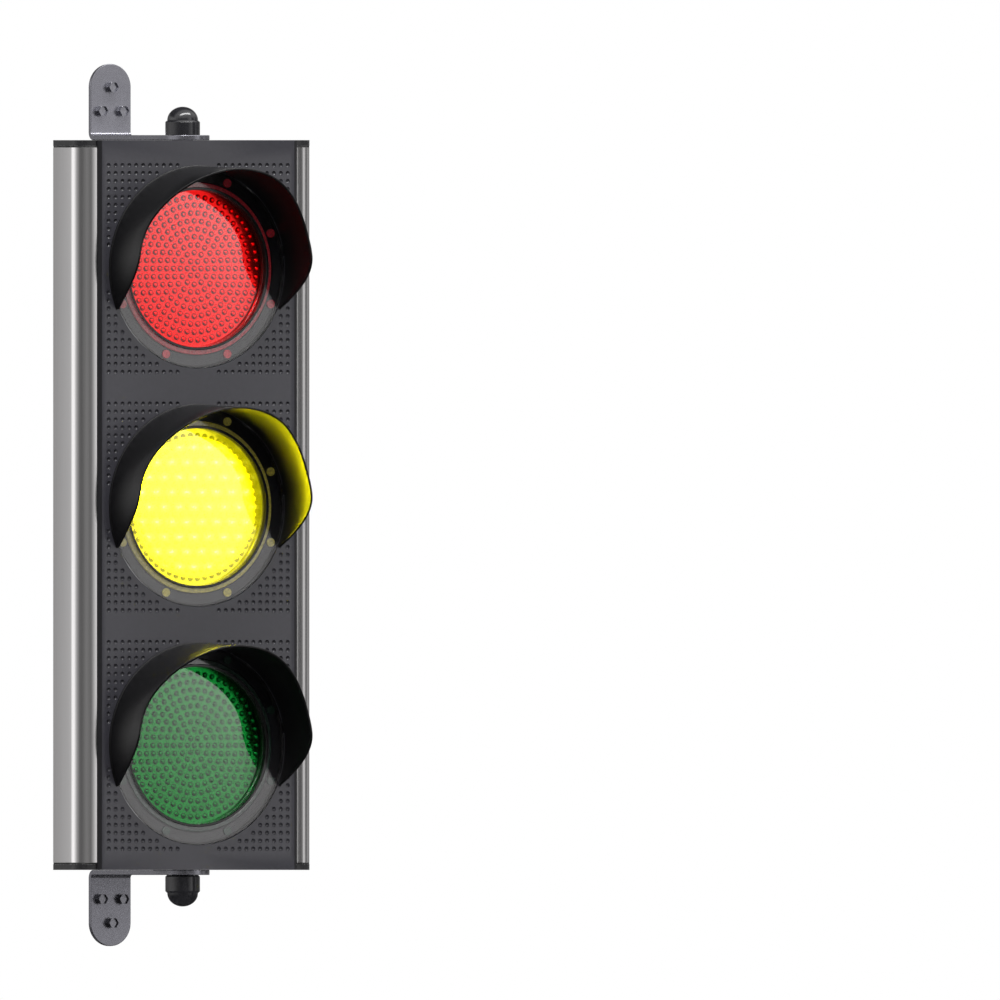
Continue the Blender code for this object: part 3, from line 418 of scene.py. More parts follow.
def make_finishes(colours):
    """Every finish of the signal head, by name."""
    f = FINISHES
    f["aluminium"] = (
        Finish("satin_anodised_aluminium", tuple(colours.aluminium), 0.15, Metallic=1.0)
        .mottle(900.0, 0.03, (1.0, 1.0, 0.01))
        .uneven_gloss(2600.0, 0.12, 0.18, (1.0, 1.0, 0.006))
        .grain(3200.0, 0.12, 0.00004, (1.0, 1.0, 0.004))
    )
    # The bevelled edge gets a darker copy of the panel finish, a painted shade.
    painted_edge_shade = tuple(EDGE_SHADE * channel for channel in colours.panel)
    f["panel"] = Finish("anthracite_moulded_panel", tuple(colours.panel), 0.32, Specular_IOR_Level=0.65)
    f["panel_edge"] = Finish("anthracite_panel_edge", painted_edge_shade, 0.32)
    for key in ("panel", "panel_edge"):
        f[key].mottle(350.0, 0.06).uneven_gloss(900.0, 0.28, 0.36).grain(2400.0, 0.1, 0.00005)
    f["cap"] = (
        Finish("black_end_cap_plastic", tuple(colours.cap), 0.3)
        .mottle(500.0, 0.15)
        .uneven_gloss(1200.0, 0.26, 0.34)
        .grain(2600.0, 0.08, 0.00004)
    )
    f["visor"] = (
        Finish("satin_black_visor_plastic", tuple(colours.visor), 0.33, Specular_IOR_Level=0.3)
        .mottle(300.0, 0.2)
        .uneven_gloss(700.0, 0.31, 0.35)
        .grain(1800.0, 0.03, 0.00004)
    )
    for key, part in (("clear", "cover"), ("window", "window")):
        f[key] = Finish(
            f"clear_{part}_polycarbonate", CLEAR_TINT, 0.0, Transmission_Weight=1.0, IOR=CLEAR_IOR
        ).uneven_gloss(120.0, 0.0, 0.015)
    # The red and green lenses are unlit; their pebble tops get a painted glow and their pebble feet painted
    # shade.
    for aspect, drift, glow in (("red", 0.06, (0.85, 0.0, 0.0)), ("green", 0.1, (0.0, 0.05, 0.008))):
        tint = tuple(getattr(colours, aspect))
        f[aspect] = (
            Finish(aspect + "_pebbled_lens", tint, 0.1, Metallic=1.0, Emission_Strength=1.0)
            .mottle(220.0, drift)
            .painted_foot_shade()
            .painted_top_glow(glow)
            .uneven_gloss(500.0, 0.08, 0.14)
        )
    f["yellow"] = lit_lens(tuple(colours.yellow))
    f["ring"] = Finish("black_lens_ring", (0.006, 0.006, 0.006), 0.15).mottle(400.0, 0.3)
    # Painted light: flanges and pins glow faintly in their own tint, though they are no lamp.
    for aspect, (tint, glow) in FLANGE_TINTS.items():
        f[aspect + "_edge"] = (
            Finish(aspect + "_lens_flange", tint, 0.18, Emission_Color=(*tint, 1.0), Emission_Strength=glow)
            .mottle(700.0, 0.35)
            .uneven_gloss(400.0, 0.1, 0.3)
        )
    for key, (name, base, roughness, drift, relief) in MATT_FINISHES.items():
        f[key] = Finish(name, base, roughness).mottle(*drift).grain(*relief)
    f["steel"] = (
        Finish("grey_coated_steel", tuple(colours.steel), 0.27, Metallic=0.85)
        .mottle(260.0, 0.05)
        .uneven_gloss(800.0, 0.24, 0.31)
        .grain(1500.0, 0.12, 0.00006)
    )
    f["bolt"] = (
        Finish("dark_zinc_bolts", tuple(colours.bolt), 0.34, Metallic=1.0)
        .mottle(1200.0, 0.12)
        .uneven_gloss(2000.0, 0.28, 0.42)
    )
    f["zinc"] = (
        Finish("bright_zinc_plate", (0.52, 0.52, 0.5), 0.32, Metallic=1.0)
        .mottle(900.0, 0.08, tint=(1.0, 1.0, 0.96))
        .uneven_gloss(1800.0, 0.25, 0.4)
    )
    f["nut"] = (
        Finish("black_gloss_nut", tuple(colours.nut), 0.16)
        .mottle(300.0, 0.15)
        .uneven_gloss(900.0, 0.13, 0.19)
        .grain(1600.0, 0.05, 0.00003)
    )
    for lead, tint in LEAD_TINTS.items():
        sleeve = Finish(lead + "_lead_sleeve", tint, 0.4)
        f[lead + "_lead"] = sleeve.mottle(500.0, 0.08).grain(1500.0, 0.08, 0.00004)


def lit_lens(tint):
    """The burning aspect: a bright lens whose light is whitest over each LED."""
    finish = Finish("yellow_pebbled_lens", tint, 0.1, Metallic=0.8, Emission_Strength=LED_STRENGTH)
    finish.mottle(220.0, 0.05).painted_foot_shade().uneven_gloss(500.0, 0.08, 0.14)
    pitch = bpy.context.scene.optic_sizes.led_spacing
    half_cell = Vector((pitch / 2, 0.0, pitch * math.sqrt(3) / 2))
    centre = Vector((0.0, 0.0, -(BODY_Z + ASPECT_RISES["yellow"]) * MM))
    seen = finish.node("ShaderNodeTexCoord").outputs["Object"]
    distances = []
    for shift in (Vector((0.0, 0.0, 0.0)), half_cell):
        moved = finish.node(
            "ShaderNodeVectorMath", {0: seen, 1: centre + shift}, operation="ADD"
        )
        wrapped = finish.node(
            "ShaderNodeVectorMath",
            {0: moved.outputs[0], 1: half_cell, 2: -half_cell},
            operation="WRAP",
        )
        flat = finish.node(
            "ShaderNodeVectorMath", {0: wrapped.outputs[0], 1: LED_STRETCH}, operation="MULTIPLY"
        )
        distances.append(
            finish.node("ShaderNodeVectorMath", {0: flat.outputs[0]}, operation="LENGTH").outputs["Value"]
        )
    nearest = finish.node("ShaderNodeMath", {0: distances[0], 1: distances[1]}, operation="MINIMUM")
    ragged = finish.node(
        "ShaderNodeMath", {0: finish.noise(700.0, detail=2.0), 1: LED_RAGGED, 2: nearest.outputs[0]},
        operation="MULTIPLY_ADD",
    )
    glow = finish.node(
        "ShaderNodeMapRange",
        {"Value": ragged.outputs[0], "From Min": LED_SPOT[0], "From Max": LED_SPOT[1],
         "To Min": 1.0, "To Max": 0.0},
    )
    ramp = finish.node("ShaderNodeValToRGB", {"Fac": glow.outputs["Result"]})
    ramp.color_ramp.elements[0].position = 0.0
    ramp.color_ramp.elements[0].color = (0.7, 0.64, 0.0015, 1.0)
    ramp.color_ramp.elements[1].position = 1.0
    ramp.color_ramp.elements[1].color = (1.0, 0.97, 0.04, 1.0)
    between = ramp.color_ramp.elements.new(0.6)
    between.color = (0.9, 0.84, 0.007, 1.0)
    offset = finish.node("ShaderNodeVectorMath", {0: seen, 1: centre}, operation="ADD")
    spread = finish.node(
        "ShaderNodeVectorMath", {0: offset.outputs[0], 1: (1.0, 0.0, 1.0)}, operation="MULTIPLY"
    )
    reach = finish.node("ShaderNodeVectorMath", {0: spread.outputs[0]}, operation="LENGTH")
    fading = finish.node(
        "ShaderNodeMapRange",
        {"Value": reach.outputs["Value"], "From Min": LED_REACH[0], "From Max": LED_REACH[1],
         "To Min": 1.0, "To Max": LED_EDGE},
        interpolation_type="SMOOTHSTEP",
    )
    # The light is also darkened along each pebble's foot by the painted shade.
    level = finish.node(
        "ShaderNodeMath", {0: fading.outputs["Result"], 1: finish.shade()}, operation="MULTIPLY"
    )
    light = finish.node(
        "ShaderNodeVectorMath", {0: ramp.outputs["Color"], "Scale": level.outputs[0]}, operation="SCALE"
    )
    finish.tree.links.new(light.outputs[0], finish.shader.inputs["Emission Color"])
    return finish


# ---------------------------------------------------------------- mesh helpers

def place(x, depth, rise):
    return Vector((x, FRONT_Y + depth, BODY_Z + rise))


def facing_front(x, depth, rise):
    """Local Z points out of the front panel; local Y points up."""
    return Matrix.Translation(place(x, depth, rise)) @ Matrix.Rotation(math.radians(90), 4, "X")


def upright(rise, direction):
    """Local Z along the pivot axis, away from the body at the top (+1) or bottom (-1)."""
    turn = Matrix.Identity(4) if direction > 0 else Matrix.Rotation(math.pi, 4, "X")
    return Matrix.Translation((0.0, PIVOT_Y, BODY_Z + direction * rise)) @ turn


def circle(radius, centre=(0.0, 0.0), steps=ROUND_STEPS):
    angles = [2 * math.pi * i / steps for i in range(steps)]
    return [(centre[0] + radius * math.cos(a), centre[1] + radius * math.sin(a)) for a in angles]


def temporary(name, data):
    made = bpy.data.objects.new(name, data)
    bpy.context.scene.collection.objects.link(made)
    return made


def taken(obj):
    """The evaluated mesh of a temporary object as a bmesh; the object is removed."""
    bpy.context.view_layer.update()
    graph = bpy.context.evaluated_depsgraph_get()
    mesh = bpy.data.meshes.new_from_object(obj.evaluated_get(graph), depsgraph=graph)
    bm = bmesh.new()
    bm.from_mesh(mesh)
    bpy.data.meshes.remove(mesh)
    bpy.data.objects.remove(obj, do_unlink=True)
    return bm


def as_mesh(name, bm):
    mesh = bpy.data.meshes.new(name)
    bm.to_mesh(mesh)
    bm.free()
    return mesh


def tidy(bm):
    bmesh.ops.remove_doubles(bm, verts=bm.verts, dist=0.0005)
    bmesh.ops.recalc_face_normals(bm, faces=bm.faces)
    return bm


def extruded(loops, low, high):
    """A flat outline with its holes, filled and extruded from height low to high along Z."""
    curve = bpy.data.curves.new("outline", "CURVE")
    curve.dimensions = "2D"
    curve.fill_mode = "BOTH"
    curve.extrude = (high - low) / 2
    for loop in loops:
        spline = curve.splines.new("POLY")
        spline.points.add(len(loop) - 1)
        for point, (x, y) in zip(spline.points, loop):
            point.co = (x, y, 0.0, 1.0)
        spline.use_cyclic_u = True
    bm = taken(temporary("outline", curve))
    bmesh.ops.translate(bm, vec=(0, 0, (high + low) / 2), verts=bm.verts)
    tidy(bm)
    bmesh.ops.dissolve_limit(bm, angle_limit=math.radians(0.5), verts=bm.verts, edges=bm.edges)
    return bm


def turned(profile, steps=ROUND_STEPS, closed=False):
    """A profile of (radius, height) points turned round local Z."""
    bm = bmesh.new()
    points = [bm.verts.new((radius, 0.0, height)) for radius, height in profile]
    edges = [bm.edges.new(pair) for pair in zip(points, points[1:])]
    if closed:
        edges.append(bm.edges.new((points[-1], points[0])))
    bmesh.ops.spin(
        bm, geom=points + edges, cent=(0, 0, 0), axis=(0, 0, 1), angle=2 * math.pi, steps=steps,
        use_merge=True,
    )
    return tidy(bm)


def moved(bm, matrix):
    bm.transform(matrix)
    return bm


def box(low, high):
    bm = bmesh.new()
    size = Vector(high) - Vector(low)
    middle = (Vector(high) + Vector(low)) / 2
    bmesh.ops.create_cube(bm, size=1.0, matrix=Matrix.Translation(middle) @ Matrix.Diagonal((*size, 1.0)))
    return bm


def cylinder(radius, low, high, centre=(0.0, 0.0), steps=ROUND_STEPS):
    profile = [(0.0, high), (radius, high), (radius, low), (0.0, low)]
    return moved(turned(profile, steps), Matrix.Translation((*centre, 0.0)))


def merged(*parts):
    whole = bmesh.new()
    for bm in parts:
        whole.from_mesh(as_mesh("part", bm))
    return whole


def shaped(bm, *steps):
    """Cuts the body with, or joins it to, other closed bodies, one after another."""
    blank = temporary("blank", as_mesh("blank", bm))
    tools = []
    for operation, tool_bm in steps:
        tool = temporary("tool", as_mesh("tool", tool_bm))
        tools.append(tool)
        boolean = blank.modifiers.new(operation, "BOOLEAN")
        boolean.operation = operation
        boolean.solver = "EXACT"
        boolean.object = tool
    result = taken(blank)
    for tool in tools:
        bpy.data.objects.remove(tool, do_unlink=True)
    return tidy(result)


def grown(bm, recipe, finish, **values):
    """The body after a Geometry Nodes tree, as a plain bmesh with that finish."""
    blank = temporary("blank", as_mesh("blank", bm))
    modifier = blank.modifiers.new("nodes", "NODES")
    modifier.node_group = recipe
    wanted = {"Finish": finish.material, **{label.replace("_", " "): v for label, v in values.items()}}
    for item in recipe.interface.items_tree:
        if item.item_type == "SOCKET" and item.in_out == "INPUT" and item.name in wanted:
            modifier[item.identifier] = wanted.pop(item.name)
    if wanted:
        raise ValueError(f"{recipe.name} has no input named {sorted(wanted)}")
    return taken(blank)


def piece(name, bm, finishes, body, replaced, sharp=22.0, smooth=True):
    """Turns a body drawn in millimetres into a finished piece that rides on a CAD body."""
    tidy(bm)
    if smooth:
        for face in bm.faces:
            face.smooth = True
    bmesh.ops.scale(bm, vec=(MM, MM, MM), verts=bm.verts)
    mesh = as_mesh(name, bm)
    for finish in finishes:
        mesh.materials.append(FINISHES[finish].material)
    mesh.set_sharp_from_angle(angle=math.radians(sharp))
    obj = bpy.data.objects.new(name, mesh)
    bpy.context.scene.collection.objects.link(obj)
    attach(obj, body)
    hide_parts(*replaced)
    return obj


def round_edges(bm, edges, width, segments=2):
    bmesh.ops.bevel(
        bm, geom=list(edges), offset=width, offset_type="OFFSET", segments=segments, profile=0.5,
        affect="EDGES", clamp_overlap=True,
    )
    return bm


# ---------------------------------------------------------------- Geometry Nodes trees

class Recipe:
    """A Geometry Nodes tree in the making, with named inputs."""

    KINDS = {"length": "NodeSocketFloat", "count": "NodeSocketInt", "finish": "NodeSocketMaterial"}

    def __init__(self, name, **inputs):
        self.tree = bpy.data.node_groups.new(name, "GeometryNodeTree")
        face = self.tree.interface
        face.new_socket("Geometry", in_out="INPUT", socket_type="NodeSocketGeometry")
        for label, kind in {**inputs, "Finish": "finish"}.items():
            face.new_socket(label.replace("_", " "), in_out="INPUT", socket_type=self.KINDS[kind])
        face.new_socket("Geometry", in_out="OUTPUT", socket_type="NodeSocketGeometry")
        self.entry = self.tree.nodes.new("NodeGroupInput")
        self.exit = self.tree.nodes.new("NodeGroupOutput")

    def given(self, label):
        return self.entry.outputs[label]

    def node(self, kind, values=None, out=0, **settings):
        made = self.tree.nodes.new(kind)
        for setting, value in settings.items():
            setattr(made, setting, value)
        for socket, value in (values or {}).items():
            for one in value if isinstance(value, list) else [value]:
                if isinstance(one, bpy.types.NodeSocket):
                    self.tree.links.new(one, made.inputs[socket])
                else:
                    made.inputs[socket].default_value = one
        return made.outputs[out]

    def math(self, operation, *values):
        return self.node("ShaderNodeMath", dict(enumerate(values)), operation=operation)

    def vector(self, x=0.0, y=0.0, z=0.0):
        return self.node("ShaderNodeCombineXYZ", {0: x, 1: y, 2: z})

    def scaled(self, value, factor):
        return self.math("MULTIPLY", value, factor)

    def drum(self, sides, radius, depth):
        return self.node("GeometryNodeMeshCylinder", {"Vertices": sides, "Radius": radius, "Depth": depth})

    def lifted(self, geometry, height):
        return self.node(
            "GeometryNodeTransform", {"Geometry": geometry, "Translation": self.vector(z=height)}
        )

    def copies(self, points, instance):
        placed = self.node("GeometryNodeInstanceOnPoints", {"Points": points, "Instance": instance})
        return self.node("GeometryNodeRealizeInstances", {"Geometry": placed})

    def join(self, *parts):
        return self.node("GeometryNodeJoinGeometry", {0: list(reversed(parts))})

    def finished(self, geometry):
        """Ends the tree: real geometry with the chosen finish."""
        real = self.node("GeometryNodeRealizeInstances", {"Geometry": geometry})
        done = self.node("GeometryNodeSetMaterial", {"Geometry": real, "Material": self.given("Finish")})
        self.tree.links.new(done, self.exit.inputs[0])
        return self.tree


STUD_STEPS = 12
STUD_RINGS = 6
JOIN_DISTANCE = 0.002


def marked(recipe, geometry, relief):
    """Stores how far each face corner stands up its pebble, from 0 at the foot to 1 at the top."""
    return recipe.node(
        "GeometryNodeStoreNamedAttribute", {"Geometry": geometry, "Name": RELIEF, "Value": relief},
        data_type="FLOAT", domain="CORNER",
    )


def studded_face(recipe, points):
    """Fills the body's open face, at height 0, and presses a dimple or pebble into it at each point."""
    outline = recipe.node(
        "GeometryNodeMeshToCurve",
        {"Mesh": recipe.given("Geometry"),
         "Selection": recipe.node(
             "FunctionNodeCompare",
             {2: recipe.node("GeometryNodeInputMeshEdgeNeighbors"), 3: 1},
             data_type="INT", operation="EQUAL")},
    )
    ring = recipe.node(
        "GeometryNodeCurvePrimitiveCircle",
        {"Resolution": STUD_STEPS, "Radius": recipe.given("Stud radius")},
    )
    face = recipe.node(
        "GeometryNodeFillCurve", {"Curve": recipe.join(outline, recipe.copies(points, ring))},
        mode="TRIANGLES",
    )
    face = recipe.node("GeometryNodeSetShadeSmooth", {0: face, "Shade Smooth": False})
    ball = recipe.node(
        "GeometryNodeMeshUVSphere", {"Segments": STUD_STEPS, "Rings": STUD_RINGS, "Radius": 1.0}
    )
    height = recipe.node("ShaderNodeSeparateXYZ", {0: recipe.node("GeometryNodeInputPosition")}, out=2)
    lower = recipe.node("FunctionNodeCompare", {0: height, 1: -0.01}, operation="LESS_THAN")
    dome = recipe.node("GeometryNodeDeleteGeometry", {"Geometry": ball, "Selection": lower}, domain="POINT")
    dome = marked(recipe, dome, height)
    radius = recipe.given("Stud radius")
    size = recipe.vector(radius, radius, recipe.given("Stud height"))
    dome = recipe.node("GeometryNodeTransform", {"Geometry": dome, "Scale": size})
    studs = recipe.copies(points, dome)
    studs = recipe.node("GeometryNodeSetShadeSmooth", {0: studs, "Shade Smooth": True})
    shell = marked(recipe, recipe.given("Geometry"), FLAT_RELIEF)
    whole = recipe.join(shell, marked(recipe, face, FLAT_RELIEF), studs)
    return recipe.node("GeometryNodeMergeByDistance", {"Geometry": whole, "Distance": JOIN_DISTANCE})


def dimpled_panel_recipe():
    """Square fields of dimples, one per aspect, left out where the lens and visor are."""
    recipe = Recipe(
        "dimpled_panel", Spacing="length", Columns="count", Clear_radius="length", Aspect_spacing="length",
        Middle_aspect="length", Stud_radius="length", Stud_height="length",
    )
    gaps = recipe.math("SUBTRACT", recipe.given("Columns"), 1.0)
    side = recipe.scaled(recipe.given("Spacing"), gaps)
    field = recipe.node(
        "GeometryNodeMeshGrid",
        {"Size X": side, "Size Y": side, "Vertices X": recipe.given("Columns"),
         "Vertices Y": recipe.given("Columns")},
    )
    reach = recipe.node(
        "ShaderNodeVectorMath", {0: recipe.node("GeometryNodeInputPosition")},
        out="Value", operation="LENGTH",
    )
    inside = recipe.node(
        "FunctionNodeCompare", {0: reach, 1: recipe.given("Clear radius")}, operation="LESS_THAN"
    )
    field = recipe.node(
        "GeometryNodeDeleteGeometry", {"Geometry": field, "Selection": inside}, domain="POINT"
    )
    down = recipe.scaled(recipe.given("Aspect spacing"), -1.0)
    highest = recipe.math("ADD", recipe.given("Aspect spacing"), recipe.given("Middle aspect"))
    aspects = recipe.node(
        "GeometryNodeMeshLine",
        {"Count": len(ASPECTS), "Start Location": recipe.vector(y=highest),
         "Offset": recipe.vector(y=down)},
    )
    return recipe.finished(studded_face(recipe, recipe.copies(aspects, field)))


def pebbled_lens_recipe():
    """Rings of pebbles: one in the middle, then six more in each ring than in the last."""
    recipe = Recipe(
        "pebbled_lens", Ring_spacing="length", Rings="count", Stud_radius="length", Stud_height="length"
    )
    rings = recipe.given("Rings")
    count = recipe.math("MULTIPLY_ADD", recipe.scaled(rings, 3.0), recipe.math("ADD", rings, 1.0), 1.0)
    index = recipe.node("GeometryNodeInputIndex")
    root = recipe.math("SQRT", recipe.math("MULTIPLY_ADD", index, 12.0, 9.0))
    ring = recipe.math("CEIL", recipe.math("DIVIDE", recipe.math("SUBTRACT", root, 3.0), 6.0))
    first = recipe.math("MULTIPLY_ADD", recipe.scaled(ring, 3.0), recipe.math("SUBTRACT", ring, 1.0), 1.0)
    share = recipe.math("DIVIDE", recipe.math("SUBTRACT", index, first), recipe.scaled(ring, 6.0))
    angle = recipe.scaled(share, 2 * math.pi)
    radius = recipe.scaled(ring, recipe.given("Ring spacing"))
    spot = recipe.vector(
        recipe.scaled(radius, recipe.math("COSINE", angle)),
        recipe.scaled(radius, recipe.math("SINE", angle)),
    )
    points = recipe.node("GeometryNodePoints", {"Count": count, "Position": spot})
    return recipe.finished(studded_face(recipe, points))


def boss_ring_recipe():
    """Pins evenly spaced on a circle, standing down from height 0."""
    recipe = Recipe(
        "boss_ring", Count="count", Circle_radius="length", Boss_radius="length", Boss_height="length"
    )
    ring = recipe.node(
        "GeometryNodeMeshCircle",
        {"Vertices": recipe.given("Count"), "Radius": recipe.given("Circle radius")},
    )
    turn = recipe.vector(z=math.radians(BOSS_TURN))
    ring = recipe.node("GeometryNodeTransform", {"Geometry": ring, "Rotation": turn})
    pin = recipe.drum(24, recipe.given("Boss radius"), recipe.given("Boss height"))
    pin = recipe.lifted(pin, recipe.scaled(recipe.given("Boss height"), -0.5))
    return recipe.finished(recipe.copies(ring, pin))


CHAMFER_TOP = 0.95
CHAMFER_FOOT = 1.7
CHAMFER_DEPTH = 0.45


def hex_bolt_recipe():
    """Chamfered hexagon heads on collars, one at each of the body's points, pointing along Z."""
    recipe = Recipe(
        "hex_bolts", Across_flats="length", Head_height="length", Collar_radius="length",
        Collar_height="length",
    )
    corner = recipe.math("DIVIDE", recipe.given("Across flats"), math.sqrt(3))
    height = recipe.given("Head height")
    collar_height = recipe.given("Collar height")
    head = recipe.drum(6, corner, height)
    head = recipe.lifted(head, recipe.math("MULTIPLY_ADD", height, 0.5, collar_height))
    dome = recipe.node(
        "GeometryNodeMeshCone",
        {"Vertices": 48, "Radius Top": recipe.scaled(corner, CHAMFER_TOP),
         "Radius Bottom": recipe.scaled(corner, CHAMFER_FOOT),
         "Depth": recipe.scaled(corner, CHAMFER_DEPTH)},
    )
    top = recipe.math("ADD", height, collar_height)
    foot = recipe.math("MULTIPLY_ADD", corner, -CHAMFER_DEPTH, top)
    dome = recipe.lifted(dome, foot)
    drum = recipe.drum(48, recipe.scaled(corner, CHAMFER_FOOT), foot)
    drum = recipe.lifted(drum, recipe.scaled(foot, 0.5))
    limit = recipe.node(
        "GeometryNodeMergeByDistance", {"Geometry": recipe.join(dome, drum), "Distance": JOIN_DISTANCE}
    )
    head = recipe.node(
        "GeometryNodeMeshBoolean", {"Mesh 2": [head, limit]}, operation="INTERSECT", solver="EXACT"
    )
    collar = recipe.drum(32, recipe.given("Collar radius"), collar_height)
    collar = recipe.lifted(collar, recipe.scaled(collar_height, 0.5))
    bolt = recipe.join(collar, head)
    return recipe.finished(recipe.copies(recipe.given("Geometry"), bolt))


SCREW_CONE_DEPTH = 0.56
SCREW_CONE_FOOT = 0.5
SCREW_SHANK = 0.48


def socket_screw_recipe():
    """Countersunk screws with a hexagon socket, one at each of the body's points, head up."""
    recipe = Recipe("socket_screws", Head_radius="length", Socket="length", Length="length")
    radius = recipe.given("Head radius")
    head = recipe.node(
        "GeometryNodeMeshCone",
        {"Vertices": 32, "Radius Top": radius, "Radius Bottom": recipe.scaled(radius, SCREW_CONE_FOOT),
         "Depth": recipe.scaled(radius, SCREW_CONE_DEPTH)},
    )
    head = recipe.lifted(head, recipe.scaled(radius, -SCREW_CONE_DEPTH))
    socket_radius = recipe.math("DIVIDE", recipe.given("Socket"), math.sqrt(3))
    socket = recipe.drum(6, socket_radius, recipe.given("Socket"))
    head = recipe.node(
        "GeometryNodeMeshBoolean", {"Mesh 1": head, "Mesh 2": socket},
        operation="DIFFERENCE", solver="EXACT",
    )
    shank_length = recipe.math("MULTIPLY_ADD", radius, -SCREW_CONE_DEPTH, recipe.given("Length"))
    shank = recipe.drum(16, recipe.scaled(radius, SCREW_SHANK), shank_length)
    cone_depth = recipe.scaled(radius, SCREW_CONE_DEPTH)
    middle = recipe.math("MULTIPLY_ADD", shank_length, 0.5, cone_depth)
    shank = recipe.lifted(shank, recipe.scaled(middle, -1.0))
    return recipe.finished(recipe.copies(recipe.given("Geometry"), recipe.join(head, shank)))


# ---------------------------------------------------------------- body shell

def plan_point(side, inset, back_distance):
    """A point of the body's plan, from its distance to the side face and to the back face."""
    return (side * (HALF_WIDTH - inset), BACK_Y - back_distance)


def back_corner(side):
    return [plan_point(side, *spot) for spot in BACK_ROUNDING]


def screw_holes(radius, steps):
    """One hole over each of the four screw ports."""
    return [circle(radius, plan_point(side, *port), steps) for side in (-1, 1) for port in SCREW_PORTS]


def corner_arc(side, steps=40):
    """The part of an ellipse that rounds a front corner, from the side face to the front panel."""
    width = CORNER_WIDTH / (1.0 - math.cos(CORNER_SWEEP))
    depth = CORNER_DEPTH / math.sin(CORNER_SWEEP)
    points = []
    for i in range(steps + 1):
        angle = CORNER_SWEEP * i / steps
        inset = width * (1.0 - math.cos(angle))
        points.append(plan_point(side, inset, SIDE_FLAT_DEPTH + depth * math.sin(angle)))
    return points


def side_profile(name, side):
    lip = BODY_DEPTH - TONGUE_DEPTHS[0] + GAP
    shelf = BODY_DEPTH - TONGUE_DEPTHS[1] - GAP
    groove = HALF_WIDTH - TONGUE_HALF_WIDTH - GAP
    inner = [
        (CORNER_WIDTH, lip), (groove, lip), (groove, shelf),
        (21.0, shelf), (21.0, shelf - PROFILE_WALL), (14.0, shelf - PROFILE_WALL),
        (14.0, 22.0), (PROFILE_WALL, 22.0), (PROFILE_WALL, 13.0), (14.0, 13.0),
        (14.0, 4.6), (10.0, 4.6), (10.0, PROFILE_WALL), (20.0, PROFILE_WALL), (20.0, 0.0),
    ]
    outline = back_corner(side) + corner_arc(side)
    outline += [plan_point(side, inset, back_distance) for inset, back_distance in inner]
    ports = [circle(PORT_RADIUS, plan_point(side, *port), 24) for port in SCREW_PORTS]
    bm = extruded([outline] + ports, BODY_Z - PROFILE_RISE, BODY_Z + PROFILE_RISE)
    piece(name + "_extrusion", bm, ["aluminium"], "head", [name])


def cap_plan():
    """Plan of the end caps: the whole body except where the front panel covers it."""
    front = BODY_DEPTH - PANEL_THICKNESS - GAP
    half = back_corner(-1)
    half += [(x, y) for x, y in corner_arc(-1) if BACK_Y - y < front]
    half.append(plan_point(-1, CORNER_WIDTH, front))
    return half + [(-x, y) for x, y in reversed(half)]


def end_cap(end, direction, rounding):
    low, high = sorted((direction * CAP_INNER_RISE, direction * HALF_HEIGHT))
    holes = [circle(STEM_HOLE_RADIUS, (0.0, PIVOT_Y))] + screw_holes(CAP_HOLE_RADIUS, 32)
    bm = extruded([cap_plan()] + holes, BODY_Z + low, BODY_Z + high)
    outer = BODY_Z + direction * HALF_HEIGHT
    radius, depth = WASHER_SEAT
    seat = cylinder(radius, -depth, 2.0)
    seat.transform(Matrix.Translation((0, PIVOT_Y, outer)) @ Matrix.Diagonal((1, 1, direction, 1)))
    bmesh.ops.recalc_face_normals(seat, faces=seat.faces)
    bm = shaped(bm, ("DIFFERENCE", seat))
    rim = [
        e for e in bm.edges
        if all(abs(v.co.z - outer) < 0.01 for v in e.verts)
        and len(e.link_faces) == 2
        and e.calc_face_angle(0.0) > math.radians(60)
    ]
    round_edges(bm, rim, rounding / MM)
    piece(end + "_end_cap_moulding", bm, ["cap"], "head", [end + "_end_cap"])


def end_gasket(end, direction):
    """Rubber sheet that fills the joint between an end cap and the body."""
    squeeze = 1.0 - GASKET_INSET / HALF_WIDTH
    plan = [(x * squeeze, min(y, BACK_Y - GASKET_INSET)) for x, y in cap_plan()]
    low, high = sorted((direction * (PROFILE_RISE + TOUCH / 2), direction * (CAP_INNER_RISE - TOUCH / 2)))
    holes = [circle(STEM_HOLE_RADIUS, (0.0, PIVOT_Y))] + screw_holes(PORT_RADIUS, 24)
    bm = extruded([plan] + holes, BODY_Z + low, BODY_Z + high)
    piece(end + "_gasket_sheet", bm, ["rubber"], "head", [end + "_end_gasket"])


